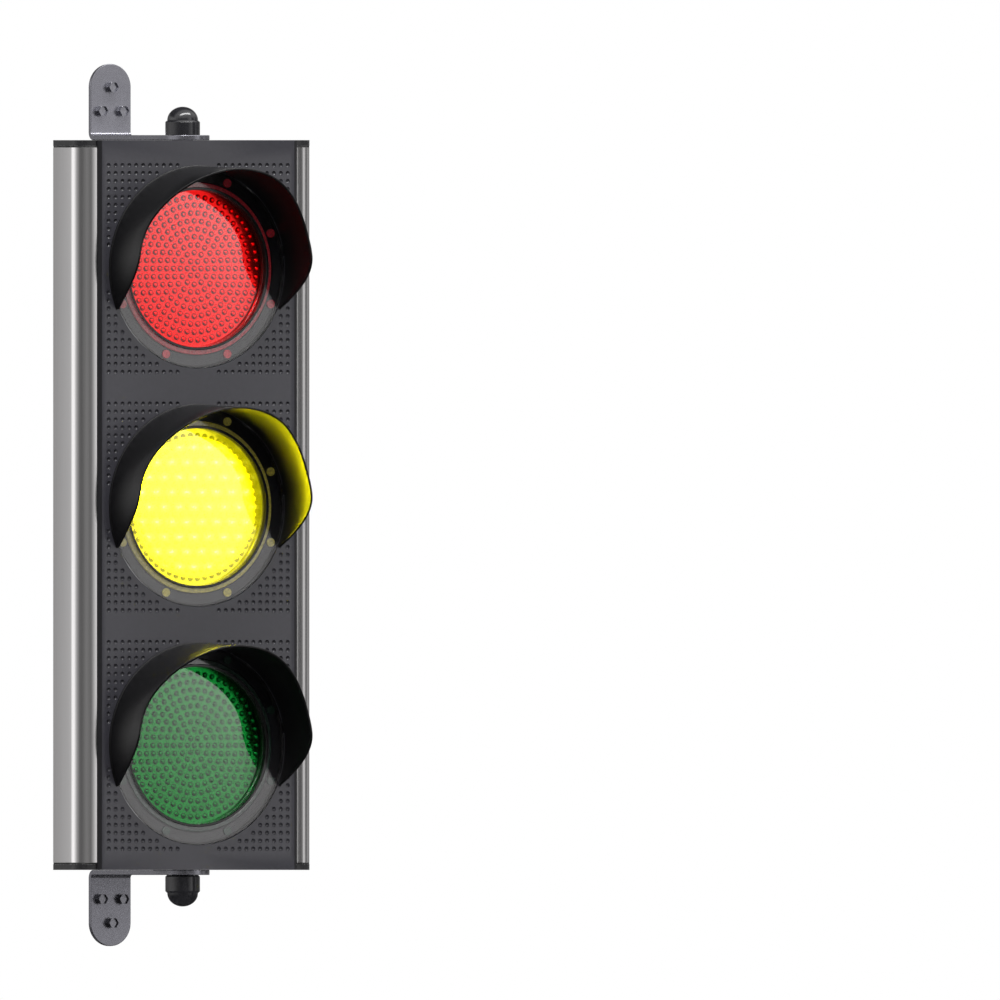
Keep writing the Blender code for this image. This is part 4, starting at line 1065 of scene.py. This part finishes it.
def front_panel_shell():
    """The front panel without its outer face, drawn with that face at height 0 and +Z outwards."""
    half = PANEL_HALF_WIDTH
    width, depth = PANEL_BEVEL
    thick = PANEL_THICKNESS
    section = [(-half, -thick), (-half, -depth), (width - half, 0.0)]
    section += [(-x, z) for x, z in reversed(section)]
    bm = extruded([section], -HALF_HEIGHT, HALF_HEIGHT)
    bm.transform(Matrix.Rotation(math.radians(90), 4, "X"))
    additions = []
    for side in (-1, 1):
        for inner, outer, top, bottom in (
            (half - 6.0, half, -thick + 1.0, -TONGUE_DEPTHS[1]),
            (half - 3.0, TONGUE_HALF_WIDTH, -TONGUE_DEPTHS[0], -TONGUE_DEPTHS[1]),
        ):
            x_low, x_high = sorted((side * inner, side * outer))
            additions.append(("UNION", box((x_low, -PROFILE_RISE, bottom), (x_high, PROFILE_RISE, top))))
    rises = ASPECT_RISES.values()
    collars, rebates, openings = (
        merged(*[cylinder(radius, low, high, (0, rise), FINE_STEPS) for rise in rises])
        for radius, low, high in (
            (COLLAR_RADIUS, -COLLAR_DEPTH, -1.0),
            (REBATE_RADIUS, -REBATE_DEPTH, 1.0),
            (OPENING_RADIUS, -COLLAR_DEPTH - 1, 1.0),
        )
    )
    notches = []
    for rise in rises:
        for angle in TAB_ANGLES:
            notch = box((TAB_RADII[0] - 1.0, -TAB_WIDTH / 2 - GAP, -TAB_DEPTH - GAP),
                        (TAB_RADII[1] + GAP, TAB_WIDTH / 2 + GAP, 1.0))
            notch.transform(Matrix.Translation((0, rise, 0)) @ Matrix.Rotation(math.radians(angle), 4, "Z"))
            notches.append(notch)
    additions += [("UNION", collars), ("DIFFERENCE", rebates), ("DIFFERENCE", openings),
                  ("DIFFERENCE", merged(*notches))]
    bm = shaped(bm, *additions)
    front = [f for f in bm.faces if f.normal.z > 0.99 and abs(f.calc_center_median().z) < 0.01]
    bmesh.ops.delete(bm, geom=front, context="FACES")
    return bm


def front_panel(sizes):
    bm = grown(
        front_panel_shell(), dimpled_panel_recipe(), FINISHES["panel"],
        Spacing=sizes.dimple_spacing / MM, Columns=sizes.dimple_columns,
        Clear_radius=sizes.dimple_clear_radius / MM, Aspect_spacing=ASPECT_PITCH,
        Middle_aspect=ASPECT_RISES["yellow"],
        Stud_radius=sizes.dimple_radius / MM, Stud_height=-sizes.dimple_depth / MM,
    )
    # Faces on the bevel take the darker panel_edge finish: painted shade.
    bevel_start = PANEL_HALF_WIDTH - PANEL_BEVEL[0]
    for face in bm.faces:
        face.material_index = int(abs(face.calc_center_median().x) > bevel_start)
    bm.transform(facing_front(0, 0, 0))
    finishes = ["panel", "panel_edge"]
    piece("front_panel_moulding", bm, finishes, "head", ["front_panel"], 50.0, False)


# ---------------------------------------------------------------- one aspect

def smooth_step(value):
    value = min(max(value, 0.0), 1.0)
    return value * value * (3.0 - 2.0 * value)


def visor_length(angle):
    """How far the visor's rim stands out at an angle; the same on the left as on the right."""
    angle = min(angle, 180.0 - angle)
    rising = math.sin(math.radians(90.0 * min((angle + VISOR_SIDE_START) / VISOR_SIDE_SWEEP, 1.0)))
    side = VISOR_SIDE_LENGTH * rising
    peak = (VISOR_TOP_LENGTH - VISOR_SIDE_LENGTH) * smooth_step((angle - VISOR_TOP_START) / VISOR_TOP_SWEEP)
    return max(side + peak, VISOR_TIP_LENGTH)


def visor_section(reach):
    """Section of the visor's wall as (radius, height), from outer base over the rim to inner base."""
    slope = (VISOR_BASE_RADIUS - VISOR_RIM_RADIUS) / VISOR_TOP_LENGTH
    rounding = min(0.55, reach * 0.4)
    outer = [
        (VISOR_BASE_RADIUS - slope * reach * s, GAP + (reach - rounding) * s) for s in (0.0, 0.33, 0.67, 1.0)
    ]
    edge = VISOR_BASE_RADIUS - slope * reach
    rim = []
    for centre, start in ((edge - rounding, 0.0), (edge - VISOR_WALL + rounding, 90.0)):
        for i in range(1, 5) if start == 0.0 else range(0, 4):
            turn = math.radians(start + 90.0 * i / 4)
            height = GAP + reach - rounding + rounding * math.sin(turn)
            rim.append((centre + rounding * math.cos(turn), height))
    inner = [(radius - VISOR_WALL, height) for radius, height in reversed(outer)]
    share = min(1.0, reach / BEAD_FULL_REACH)
    bead = [(VISOR_BASE_RADIUS + width, GAP + height * share) for width, height in BEAD_SECTION]
    return bead + outer[1:] + rim + inner


def visor(name, rise):
    bm = bmesh.new()
    rows = []
    for i in range(VISOR_STEPS + 1):
        angle = VISOR_TIP_ANGLE + (180.0 - 2 * VISOR_TIP_ANGLE) * i / VISOR_STEPS
        turn = math.radians(angle)
        section = visor_section(visor_length(angle))
        rows.append([bm.verts.new((r * math.cos(turn), r * math.sin(turn), h)) for r, h in section])
    count = len(rows[0])
    for row, following in zip(rows, rows[1:]):
        for j in range(count):
            bm.faces.new((row[j], row[(j + 1) % count], following[(j + 1) % count], following[j]))
    bm.faces.new(rows[0])
    bm.faces.new(list(reversed(rows[-1])))
    tidy(bm)
    tabs = []
    for angle in TAB_ANGLES:
        tab = box((TAB_RADII[0], -TAB_WIDTH / 2, -TAB_DEPTH), (TAB_RADII[1], TAB_WIDTH / 2, 3.0))
        tab.transform(Matrix.Rotation(math.radians(angle), 4, "Z"))
        tabs.append(tab)
    bm = shaped(bm, ("UNION", merged(*tabs)))
    bm.transform(facing_front(0, 0, rise))
    piece(name + "_shell", bm, ["visor"], "head", [name], 32.0)


def cover_flange():
    """Flat clear ring round the window, with its front face at height 0."""
    edge = 0.35
    inner = TUBE_RADIUS + 0.1
    profile = [(inner, 0.0), (COVER_RADIUS - edge, 0.0), (COVER_RADIUS, -edge),
               (COVER_RADIUS, -COVER_THICKNESS + edge), (COVER_RADIUS - edge, -COVER_THICKNESS),
               (inner, -COVER_THICKNESS)]
    return turned(profile, FINE_STEPS, closed=True)


def cover_window():
    """Slightly domed clear window, sunk inside the lens ring."""
    front = []
    back = []
    for i in range(WINDOW_RINGS + 1):
        radius = WINDOW_RADIUS * i / WINDOW_RINGS
        height = WINDOW_RISE * (1.0 - (radius / WINDOW_RADIUS) ** 2) - WINDOW_DEPTH
        front.append((radius, height))
        back.append((radius, height - WINDOW_THICKNESS))
    return turned(front + back[::-1], FINE_STEPS)


def clear_cover(aspect, rise, sizes):
    flange = cover_flange()
    window = cover_window()
    pins = grown(
        bmesh.new(), boss_ring_recipe(), FINISHES["clear"],
        Count=sizes.boss_count, Circle_radius=BOSS_CIRCLE,
        Boss_radius=sizes.boss_radius / MM, Boss_height=sizes.boss_height / MM - HAIRLINE,
    )
    pins.transform(Matrix.Translation((0, 0, -COVER_THICKNESS - HAIRLINE)))
    for index, part in enumerate((flange, pins, window)):
        for face in part.faces:
            face.material_index = index
    bm = merged(flange, pins, window)
    bm.transform(facing_front(0, 0, rise))
    piece(aspect + "_cover_disc", bm, ["clear", aspect + "_edge", "window"], "head",
          [aspect + "_clear_cover"])


def pebble_lens(aspect, rise, sizes):
    back = DISC_FRONT - DISC_BACK
    shell = turned([(DISC_RADIUS, 0.0), (DISC_RADIUS, back), (0.0, back)], FINE_STEPS)
    bm = grown(
        shell, pebbled_lens_recipe(), FINISHES[aspect],
        Ring_spacing=sizes.pebble_spacing / MM, Rings=sizes.pebble_rings,
        Stud_radius=sizes.pebble_radius / MM, Stud_height=sizes.pebble_height / MM,
    )
    bm.transform(facing_front(0, DISC_FRONT, rise))
    node = aspect + "_pebble_lens"
    piece(aspect + "_lens_disc", bm, [aspect], "head", [node], 50.0, False)

    inner = DISC_RADIUS + HAIRLINE
    top, under = (-depth for depth in FLANGE_DEPTHS)
    profile = [(inner, -RING_FRONT - 0.3), (inner + 0.3, -RING_FRONT), (TUBE_RADIUS - 0.3, -RING_FRONT),
               (TUBE_RADIUS, -RING_FRONT - 0.3), (TUBE_RADIUS, top), (FLANGE_RADIUS - 0.4, top),
               (FLANGE_RADIUS, top - 0.4), (FLANGE_RADIUS, under), (TUBE_RADIUS, under),
               (TUBE_RADIUS, -DISC_BACK), (inner, -DISC_BACK)]
    ring = turned(profile, FINE_STEPS, closed=True)
    for face in ring.faces:
        middle = face.calc_center_median()
        face.material_index = 1 if middle.xy.length > TUBE_RADIUS else 0
    ring.transform(facing_front(0, 0, rise))
    piece(aspect + "_lens_ring", ring, ["ring", aspect + "_edge"], "head", [node])


# ---------------------------------------------------------------- fixings, brackets and nuts

def point_cloud(points):
    bm = bmesh.new()
    for point in points:
        bm.verts.new(point)
    return bm


def cap_screws(sizes):
    """The eight end-cap screws as one piece, four at each end."""
    ends = []
    for _, direction in ENDS:
        spots = [(*plan_point(side, *port), 0.0) for side in (-1, 1) for port in SCREW_PORTS]
        screws = grown(
            point_cloud(spots), socket_screw_recipe(), FINISHES["zinc"],
            Head_radius=sizes.screw_head_radius / MM, Socket=sizes.screw_socket / MM,
            Length=sizes.screw_length / MM,
        )
        lift = Matrix.Translation((0, 0, BODY_Z + direction * (HALF_HEIGHT - SCREW_SINK)))
        screws.transform(lift @ Matrix.Diagonal((1, 1, direction, 1)))
        ends.append(screws)
    nodes = [f"{end}_cap_screw_{n}" for end, _ in ENDS for n in range(1, 5)]
    piece("end_cap_screws", merged(*ends), ["zinc"], "head", nodes, 30.0)


def bracket(end, direction, body):
    """A bent strip with round ends: arm along the body's end, plate against the wall."""
    radius, thickness, half = BEND_RADIUS, STRIP_THICKNESS, STRIP_WIDTH / 2
    plate_top = ARM_RISE + UPPER_BOLT_RISE + half + 2
    arm_front = ARM_TIP_CENTRE - half - 2
    turns = [math.radians(-90.0 + 90.0 * i / 16) for i in range(17)]
    inner = radius - thickness
    foot = HALF_HEIGHT + TOUCH
    bend = ARM_RISE + radius
    side = [(arm_front, foot)]
    side += [(radius * math.cos(a) - radius, bend + (bend - foot) * math.sin(a)) for a in turns]
    side += [(0.0, plate_top), (-thickness, plate_top)]
    side += [(inner * math.cos(a) - radius, bend + inner * math.sin(a)) for a in reversed(turns)]
    side.append((arm_front, ARM_RISE + thickness))
    strip = extruded([[(y, direction * rise) for y, rise in side]], -half - 2, half + 2)
    # The strip's local X becomes world Y, its local Y world Z, and its width lies along world X.
    along_strip = Matrix(((0, 0, 1, 0), (1, 0, 0, 0), (0, 1, 0, 0), (0, 0, 0, 1)))
    strip.transform(Matrix.Translation((0, 0, BODY_Z)) @ along_strip)
    turns = [math.radians(180.0 * i / 48) for i in range(49)]
    plan = [(half, 5.0), (-half, 5.0)]
    plan += [(-half * math.cos(a), ARM_TIP_CENTRE - half * math.sin(a)) for a in turns]
    low, high = sorted((direction * (ARM_RISE - 5), direction * (plate_top + 5)))
    arm_mask = extruded([plan], BODY_Z + low, BODY_Z + high)
    centre = ARM_RISE + UPPER_BOLT_RISE
    view = [(half * math.cos(a), direction * (centre + half * math.sin(a))) for a in turns]
    view += [(-half, direction * (ARM_RISE - 5)), (half, direction * (ARM_RISE - 5))]
    plate_mask = extruded([view], -5.0, -arm_front + 5)
    plate_mask.transform(Matrix.Translation((0, 0, BODY_Z)) @ Matrix.Rotation(math.radians(90), 4, "X"))
    hole_low, hole_high = sorted((direction * (ARM_RISE - 2), direction * (ARM_RISE + 6)))
    stem_hole = cylinder(STEM_HOLE_RADIUS, BODY_Z + hole_low, BODY_Z + hole_high, (0, PIVOT_Y))
    for mask in (strip, arm_mask, plate_mask):
        bmesh.ops.recalc_face_normals(mask, faces=mask.faces)
    bm = shaped(strip, ("INTERSECT", arm_mask), ("INTERSECT", plate_mask), ("DIFFERENCE", stem_hole))
    bmesh.ops.dissolve_limit(bm, angle_limit=math.radians(0.5), verts=bm.verts, edges=bm.edges)
    edges = [e for e in bm.edges if len(e.link_faces) == 2 and e.calc_face_angle(0.0) > math.radians(50)]
    round_edges(bm, edges, BRACKET_ROUNDING)
    piece(end + "_bent_bracket", bm, ["steel"], body, [end + "_bracket"])


def wall_bolts(end, direction, body, sizes):
    spots = [(0.0, UPPER_BOLT_RISE)] + [(side * LOWER_BOLT_OFFSET, LOWER_BOLT_RISE) for side in (-1, 1)]
    points = [(x, direction * (ARM_RISE + rise), 0.0) for x, rise in spots]
    bm = grown(
        point_cloud(points), hex_bolt_recipe(), FINISHES["bolt"],
        Across_flats=sizes.bolt_across_flats / MM, Head_height=sizes.bolt_hex_height / MM,
        Collar_radius=sizes.bolt_collar_radius / MM, Collar_height=sizes.bolt_collar_height / MM,
    )
    seat = -STRIP_THICKNESS - HAIRLINE
    bm.transform(Matrix.Translation((0, seat, BODY_Z)) @ Matrix.Rotation(math.radians(90), 4, "X"))
    nodes = [f"{end}_wall_bolt_{n}" for n in (1, 2, 3)]
    piece(end + "_wall_bolts", bm, ["bolt"], body, nodes, 20.0)


def cap_nut(end, direction):
    """Round domed nut with a blind bore, its base at height 0."""
    foot = NUT_FEET[end]
    shoulder = NUT_SHOULDERS[end]
    dome_base = shoulder + DOME_STEP
    profile = []
    for i in range(DOME_STEPS + 1):
        turn = math.radians(90.0 - 90.0 * i / DOME_STEPS)
        profile.append((DOME_RADIUS * math.cos(turn), dome_base + DOME_HEIGHT * math.sin(turn)))
    profile[0] = (0.0, dome_base + DOME_HEIGHT)
    profile += [(DOME_RADIUS + 0.15, dome_base - 0.15), (NUT_RADIUS - 0.1, shoulder + 0.1),
                (NUT_RADIUS, shoulder - 0.1), (NUT_RADIUS, foot), (NUT_RADIUS - foot, 0.0),
                (STEM_HOLE_RADIUS, 0.0), (STEM_HOLE_RADIUS, NUT_BORE), (0.0, NUT_BORE)]
    bm = turned(profile, FINE_STEPS)
    seat = ARM_RISE + STRIP_THICKNESS + TOUCH
    bm.transform(upright(seat, direction))
    node = end + "_cap_nut"
    piece(end + "_domed_nut", bm, ["nut"], node, [node], 25.0)


# ---------------------------------------------------------------- operators

class SIGNAL_OT_side_profiles(bpy.types.Operator):
    """Anodised extrusions along both sides of the body"""

    bl_idname = "signal.side_profiles"
    bl_label = "Side profiles"

    def execute(self, context):
        side_profile("left_side_profile", -1)
        side_profile("right_side_profile", 1)
        return {"FINISHED"}


class SIGNAL_OT_front_panel(bpy.types.Operator):
    """Moulded front panel with its fields of dimples"""

    bl_idname = "signal.front_panel"
    bl_label = "Front panel"

    def execute(self, context):
        front_panel(context.scene.panel_sizes)
        return {"FINISHED"}


class SIGNAL_OT_end_caps(bpy.types.Operator):
    """Black caps that close the body at both ends, each on its gasket"""

    bl_idname = "signal.end_caps"
    bl_label = "End caps"

    def execute(self, context):
        for end, direction in ENDS:
            end_cap(end, direction, context.scene.panel_sizes.edge_rounding)
            end_gasket(end, direction)
        return {"FINISHED"}


class SIGNAL_OT_visors(bpy.types.Operator):
    """Cut-away visor over each aspect"""

    bl_idname = "signal.visors"
    bl_label = "Visors"

    def execute(self, context):
        for aspect, rise in ASPECT_RISES.items():
            visor(aspect + "_visor", rise)
        return {"FINISHED"}


class SIGNAL_OT_clear_covers(bpy.types.Operator):
    """Clear cover with its pins in front of each lens"""

    bl_idname = "signal.clear_covers"
    bl_label = "Clear covers"

    def execute(self, context):
        for aspect, rise in ASPECT_RISES.items():
            clear_cover(aspect, rise, context.scene.optic_sizes)
        return {"FINISHED"}


class SIGNAL_OT_pebble_lenses(bpy.types.Operator):
    """Coloured lens with rings of pebbles, and the black ring that holds it"""

    bl_idname = "signal.pebble_lenses"
    bl_label = "Pebble lenses"

    def execute(self, context):
        for aspect, rise in ASPECT_RISES.items():
            pebble_lens(aspect, rise, context.scene.optic_sizes)
        return {"FINISHED"}


class SIGNAL_OT_cap_screws(bpy.types.Operator):
    """Countersunk screws that hold the end caps"""

    bl_idname = "signal.cap_screws"
    bl_label = "End-cap screws"

    def execute(self, context):
        cap_screws(context.scene.fixing_sizes)
        return {"FINISHED"}


class SIGNAL_OT_brackets(bpy.types.Operator):
    """Bent steel brackets with their wall bolts"""

    bl_idname = "signal.brackets"
    bl_label = "Brackets"

    def execute(self, context):
        for end, direction in ENDS:
            body = end + "_bracket"
            bracket(end, direction, body)
            wall_bolts(end, direction, body, context.scene.fixing_sizes)
        return {"FINISHED"}


class SIGNAL_OT_cap_nuts(bpy.types.Operator):
    """Domed nuts on the hollow stems that the head turns on"""

    bl_idname = "signal.cap_nuts"
    bl_label = "Cap nuts"

    def execute(self, context):
        for end, direction in ENDS:
            cap_nut(end, direction)
        return {"FINISHED"}


CARRIED = {
    "panel": ["back_panel"],
    "rubber": ["cable_grommet"] + [aspect + "_cover_gasket" for aspect in ASPECTS],
    "housing": [aspect + "_lamp_housing" for aspect in ASPECTS],
    "board": [aspect + "_led_board" for aspect in ASPECTS],
    "driver": ["driver_board"],
    "terminal": ["terminal_block"],
    "zinc": [end + piece_name for end, _ in ENDS for piece_name in ("_pivot_stem", "_lock_nut")],
    "nylon": [end + "_friction_washer" for end, _ in ENDS],
    "supply_lead": ["supply_lead"],
    "red_lead": ["red_lead"],
    "yellow_lead": ["yellow_lead"],
    "green_lead": ["green_lead"],
}


class SIGNAL_OT_carried_pieces(bpy.types.Operator):
    """Finishes for the pieces whose CAD shape is shown as it is"""

    bl_idname = "signal.carried_pieces"
    bl_label = "Inner pieces"

    def execute(self, context):
        for finish, names in CARRIED.items():
            for name in names:
                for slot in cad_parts[name].material_slots:
                    slot.material = FINISHES[finish].material
        return {"FINISHED"}


# ---------------------------------------------------------------- stage

# Brightness of the studio round the horizon, by angle in degrees from -X towards -Y.
STUDIO_BANDS = (
    (-98, 0.2), (-60, 0.42), (-31, 1.05), (-4, 1.05), (20, 0.42), (31, 0.27), (41, 0.14), (51, 0.1),
    (60, 0.12), (77, 0.2), (92, 0.12), (99, 0.32), (107, 0.65), (113, 0.8), (120, 1.1), (126, 1.35),
    (130, 0.35), (133, 0.06), (137, 0.12), (144, 0.08), (150, 0.15), (155, 0.5), (158, 0.8), (162, 0.5),
    (168, 0.12), (176, 0.12), (190, 0.34), (205, 0.12), (228, 0.8), (248, 0.85),
)
BAND_LIMIT = 1.5
BAND_RISE = 4.0
BAND_RISE_LIMITS = (0.4, 1.6)
SKY_BRIGHTNESS = 1.3
SKY_EDGE = (0.2, 0.5)
BACK_BRIGHTNESS = 0.05
BACK_EDGE = (0.0, 0.35)
GROUND_BRIGHTNESS = 0.04
GROUND_EDGE = (-0.4, -0.15)
FLOOR_DROP = 0.06
FLOOR_SIZE = 12.0
VIEW_SHIFT = (0.2396, 0.0038)
VIEW_DISTANCE = 3.0
KEY_PLACE = (-1.2, -2.2, 1.6)
KEY_SIZE = (1.4, 1.4)
KEY_POWER = 14.0
OVERHEAD_PLACE = (0.0, -0.95, 1.5)
OVERHEAD_SIZE = (2.4, 0.35)
OVERHEAD_POWER = 50.0


class WorldTree:
    """The world's node tree in the making."""

    def __init__(self, name):
        self.world = bpy.data.worlds.new(name)
        self.world.use_nodes = True
        self.tree = self.world.node_tree
        self.tree.nodes.clear()

    def node(self, kind, values=None, out=0, **settings):
        made = self.tree.nodes.new(kind)
        for setting, value in settings.items():
            setattr(made, setting, value)
        for socket, value in (values or {}).items():
            if isinstance(value, bpy.types.NodeSocket):
                self.tree.links.new(value, made.inputs[socket])
            else:
                made.inputs[socket].default_value = value
        return made.outputs[out] if made.outputs else made


def studio_world(strength):
    """Soft boxes all round as bands of brightness, bright above and dark below, on a white ground."""
    w = WorldTree("studio")
    direction = w.node("ShaderNodeTexCoord", out="Generated")
    x = w.node("ShaderNodeSeparateXYZ", {0: direction}, out=0)
    y = w.node("ShaderNodeSeparateXYZ", {0: direction}, out=1)
    z = w.node("ShaderNodeSeparateXYZ", {0: direction}, out=2)
    left = w.node("ShaderNodeMath", {0: x, 1: -1.0}, operation="MULTIPLY")
    front = w.node("ShaderNodeMath", {0: y, 1: -1.0}, operation="MULTIPLY")
    angle = w.node("ShaderNodeMath", {0: front, 1: left}, operation="ARCTAN2")
    share = w.node(
        "ShaderNodeMapRange",
        {"Value": angle, "From Min": -math.pi, "From Max": math.pi, "To Min": 0.0, "To Max": 1.0},
    )
    bands = w.tree.nodes.new("ShaderNodeValToRGB")
    w.tree.links.new(share, bands.inputs["Fac"])
    stops = sorted((((a + 180.0) % 360.0) / 360.0, value / BAND_LIMIT) for a, value in STUDIO_BANDS)
    elements = bands.color_ramp.elements
    seam = (stops[0][1] + stops[-1][1]) / 2
    for element, position in ((elements[0], 0.0), (elements[1], 1.0)):
        element.position = position
        element.color = (seam, seam, seam, 1.0)
    for position, value in stops:
        elements.new(position).color = (value, value, value, 1.0)
    rise = w.node("ShaderNodeMath", {0: z, 1: BAND_RISE, 2: 1.0}, operation="MULTIPLY_ADD")
    rise = w.node(
        "ShaderNodeClamp", {"Value": rise, "Min": BAND_RISE_LIMITS[0], "Max": BAND_RISE_LIMITS[1]}
    )
    rise = w.node("ShaderNodeMath", {0: rise, 1: BAND_LIMIT}, operation="MULTIPLY")
    horizon = w.node("ShaderNodeMath", {0: bands.outputs["Color"], 1: rise}, operation="MULTIPLY")
    above = w.node(
        "ShaderNodeMapRange", {"Value": z, "From Min": SKY_EDGE[0], "From Max": SKY_EDGE[1]},
        interpolation_type="SMOOTHSTEP",
    )
    below = w.node(
        "ShaderNodeMapRange", {"Value": z, "From Min": GROUND_EDGE[0], "From Max": GROUND_EDGE[1]},
        interpolation_type="SMOOTHSTEP",
    )
    behind = w.node(
        "ShaderNodeMapRange", {"Value": y, "From Min": BACK_EDGE[0], "From Max": BACK_EDGE[1]},
        interpolation_type="SMOOTHSTEP",
    )
    sky = w.node("ShaderNodeMix", {0: behind, 2: SKY_BRIGHTNESS, 3: BACK_BRIGHTNESS}, data_type="FLOAT")
    upper = w.node("ShaderNodeMix", {0: above, 2: horizon, 3: sky}, data_type="FLOAT")
    whole = w.node("ShaderNodeMix", {0: below, 2: GROUND_BRIGHTNESS, 3: upper}, data_type="FLOAT")
    level = w.node("ShaderNodeMath", {0: whole, 1: strength}, operation="MULTIPLY")
    light = w.node("ShaderNodeBackground", {"Color": (1.0, 0.99, 0.99, 1.0), "Strength": level})
    ground = w.node("ShaderNodeBackground", {"Color": (1.0, 1.0, 1.0, 1.0), "Strength": 1.0})
    seen = w.node("ShaderNodeLightPath", out="Is Camera Ray")
    mixed = w.node("ShaderNodeMixShader", {0: seen, 1: light, 2: ground})
    w.node("ShaderNodeOutputWorld", {"Surface": mixed})
    bpy.context.scene.world = w.world


def soft_box(name, position, target, size, power):
    light = bpy.data.lights.new(name, "AREA")
    light.shape = "RECTANGLE"
    light.size, light.size_y = size
    light.energy = power
    obj = bpy.data.objects.new(name, light)
    bpy.context.scene.collection.objects.link(obj)
    obj.location = position
    obj.rotation_euler = (Vector(target) - Vector(position)).to_track_quat("-Z", "Y").to_euler()
    return obj


def pale_floor(tint, height):
    bm = bmesh.new()
    bmesh.ops.create_circle(bm, cap_ends=True, segments=96, radius=FLOOR_SIZE / 2)
    bmesh.ops.translate(bm, vec=(0, 0, height), verts=bm.verts)
    floor = temporary("pale_floor", as_mesh("pale_floor", bm))
    finish = Finish("pale_floor", tint, 0.6).mottle(3.0, 0.01)
    floor.data.materials.append(finish.material)
    floor.visible_glossy = False
    floor.visible_transmission = False


def stage(settings):
    scene = bpy.context.scene
    low, high = CAD_BOX
    middle = Vector((0.0, PIVOT_Y * MM, (low.z + high.z) / 2))
    turn = settings.view_azimuth
    back = Vector((math.sin(turn), -math.cos(turn), 0.0))
    right = Vector((math.cos(turn), math.sin(turn), 0.0))
    camera = bpy.data.cameras.new("camera")
    camera.type = "ORTHO"
    camera.ortho_scale = settings.view_width
    camera.clip_end = 50.0
    holder = bpy.data.objects.new("camera", camera)
    scene.collection.objects.link(holder)
    holder.location = middle + right * VIEW_SHIFT[0] + Vector((0, 0, VIEW_SHIFT[1])) + back * VIEW_DISTANCE
    holder.rotation_euler = (math.pi / 2, 0.0, turn)
    scene.camera = holder
    scene.view_settings.view_transform = "Standard"
    scene.view_settings.look = "None"
    studio_world(settings.light)
    pale_floor(tuple(settings.floor), low.z - FLOOR_DROP)
    key = soft_box("key_soft_box", KEY_PLACE, middle, KEY_SIZE, KEY_POWER * settings.light)
    key.visible_glossy = False
    soft_box("overhead_soft_box", OVERHEAD_PLACE, middle, OVERHEAD_SIZE, OVERHEAD_POWER * settings.light)


class SIGNAL_OT_stage(bpy.types.Operator):
    """Camera, pale floor, studio light and white ground"""

    bl_idname = "signal.stage"
    bl_label = "Stage"

    def execute(self, context):
        stage(context.scene.studio)
        return {"FINISHED"}


class SIGNAL_OT_finishes(bpy.types.Operator):
    """Every finish that the pieces take"""

    bl_idname = "signal.finishes"
    bl_label = "Finishes"

    def execute(self, context):
        make_finishes(context.scene.signal_colours)
        return {"FINISHED"}


# ---------------------------------------------------------------- panel, registration and run

GROUPS = {
    "panel_sizes": PanelSizes,
    "optic_sizes": OpticSizes,
    "fixing_sizes": FixingSizes,
    "signal_colours": SignalColours,
    "studio": StudioSettings,
}
OPERATORS = (
    SIGNAL_OT_stage,
    SIGNAL_OT_finishes,
    SIGNAL_OT_side_profiles,
    SIGNAL_OT_front_panel,
    SIGNAL_OT_end_caps,
    SIGNAL_OT_visors,
    SIGNAL_OT_clear_covers,
    SIGNAL_OT_pebble_lenses,
    SIGNAL_OT_cap_screws,
    SIGNAL_OT_brackets,
    SIGNAL_OT_cap_nuts,
    SIGNAL_OT_carried_pieces,
)


class SIGNAL_PT_pieces(bpy.types.Panel):
    """Lists the pieces of the signal head with their sizes and colours"""

    bl_label = "Signal head"
    bl_idname = "SIGNAL_PT_pieces"
    bl_space_type = "VIEW_3D"
    bl_region_type = "UI"
    bl_category = "Signal head"

    def draw(self, context):
        for operator in OPERATORS:
            self.layout.operator(operator.bl_idname)
        for group_name, group in GROUPS.items():
            column = self.layout.column()
            for setting in group.__annotations__:
                column.prop(getattr(context.scene, group_name), setting)


def register():
    for group_name, group in GROUPS.items():
        bpy.utils.register_class(group)
        setattr(bpy.types.Scene, group_name, PointerProperty(type=group))
    for operator in OPERATORS:
        bpy.utils.register_class(operator)
    bpy.utils.register_class(SIGNAL_PT_pieces)


def unregister():
    bpy.utils.unregister_class(SIGNAL_PT_pieces)
    for operator in reversed(OPERATORS):
        bpy.utils.unregister_class(operator)
    for group_name, group in GROUPS.items():
        delattr(bpy.types.Scene, group_name)
        bpy.utils.unregister_class(group)


def main():
    register()
    for operator in OPERATORS:
        getattr(bpy.ops.signal, operator.bl_idname.split(".")[1])()


if __name__ == "__main__":
    main()
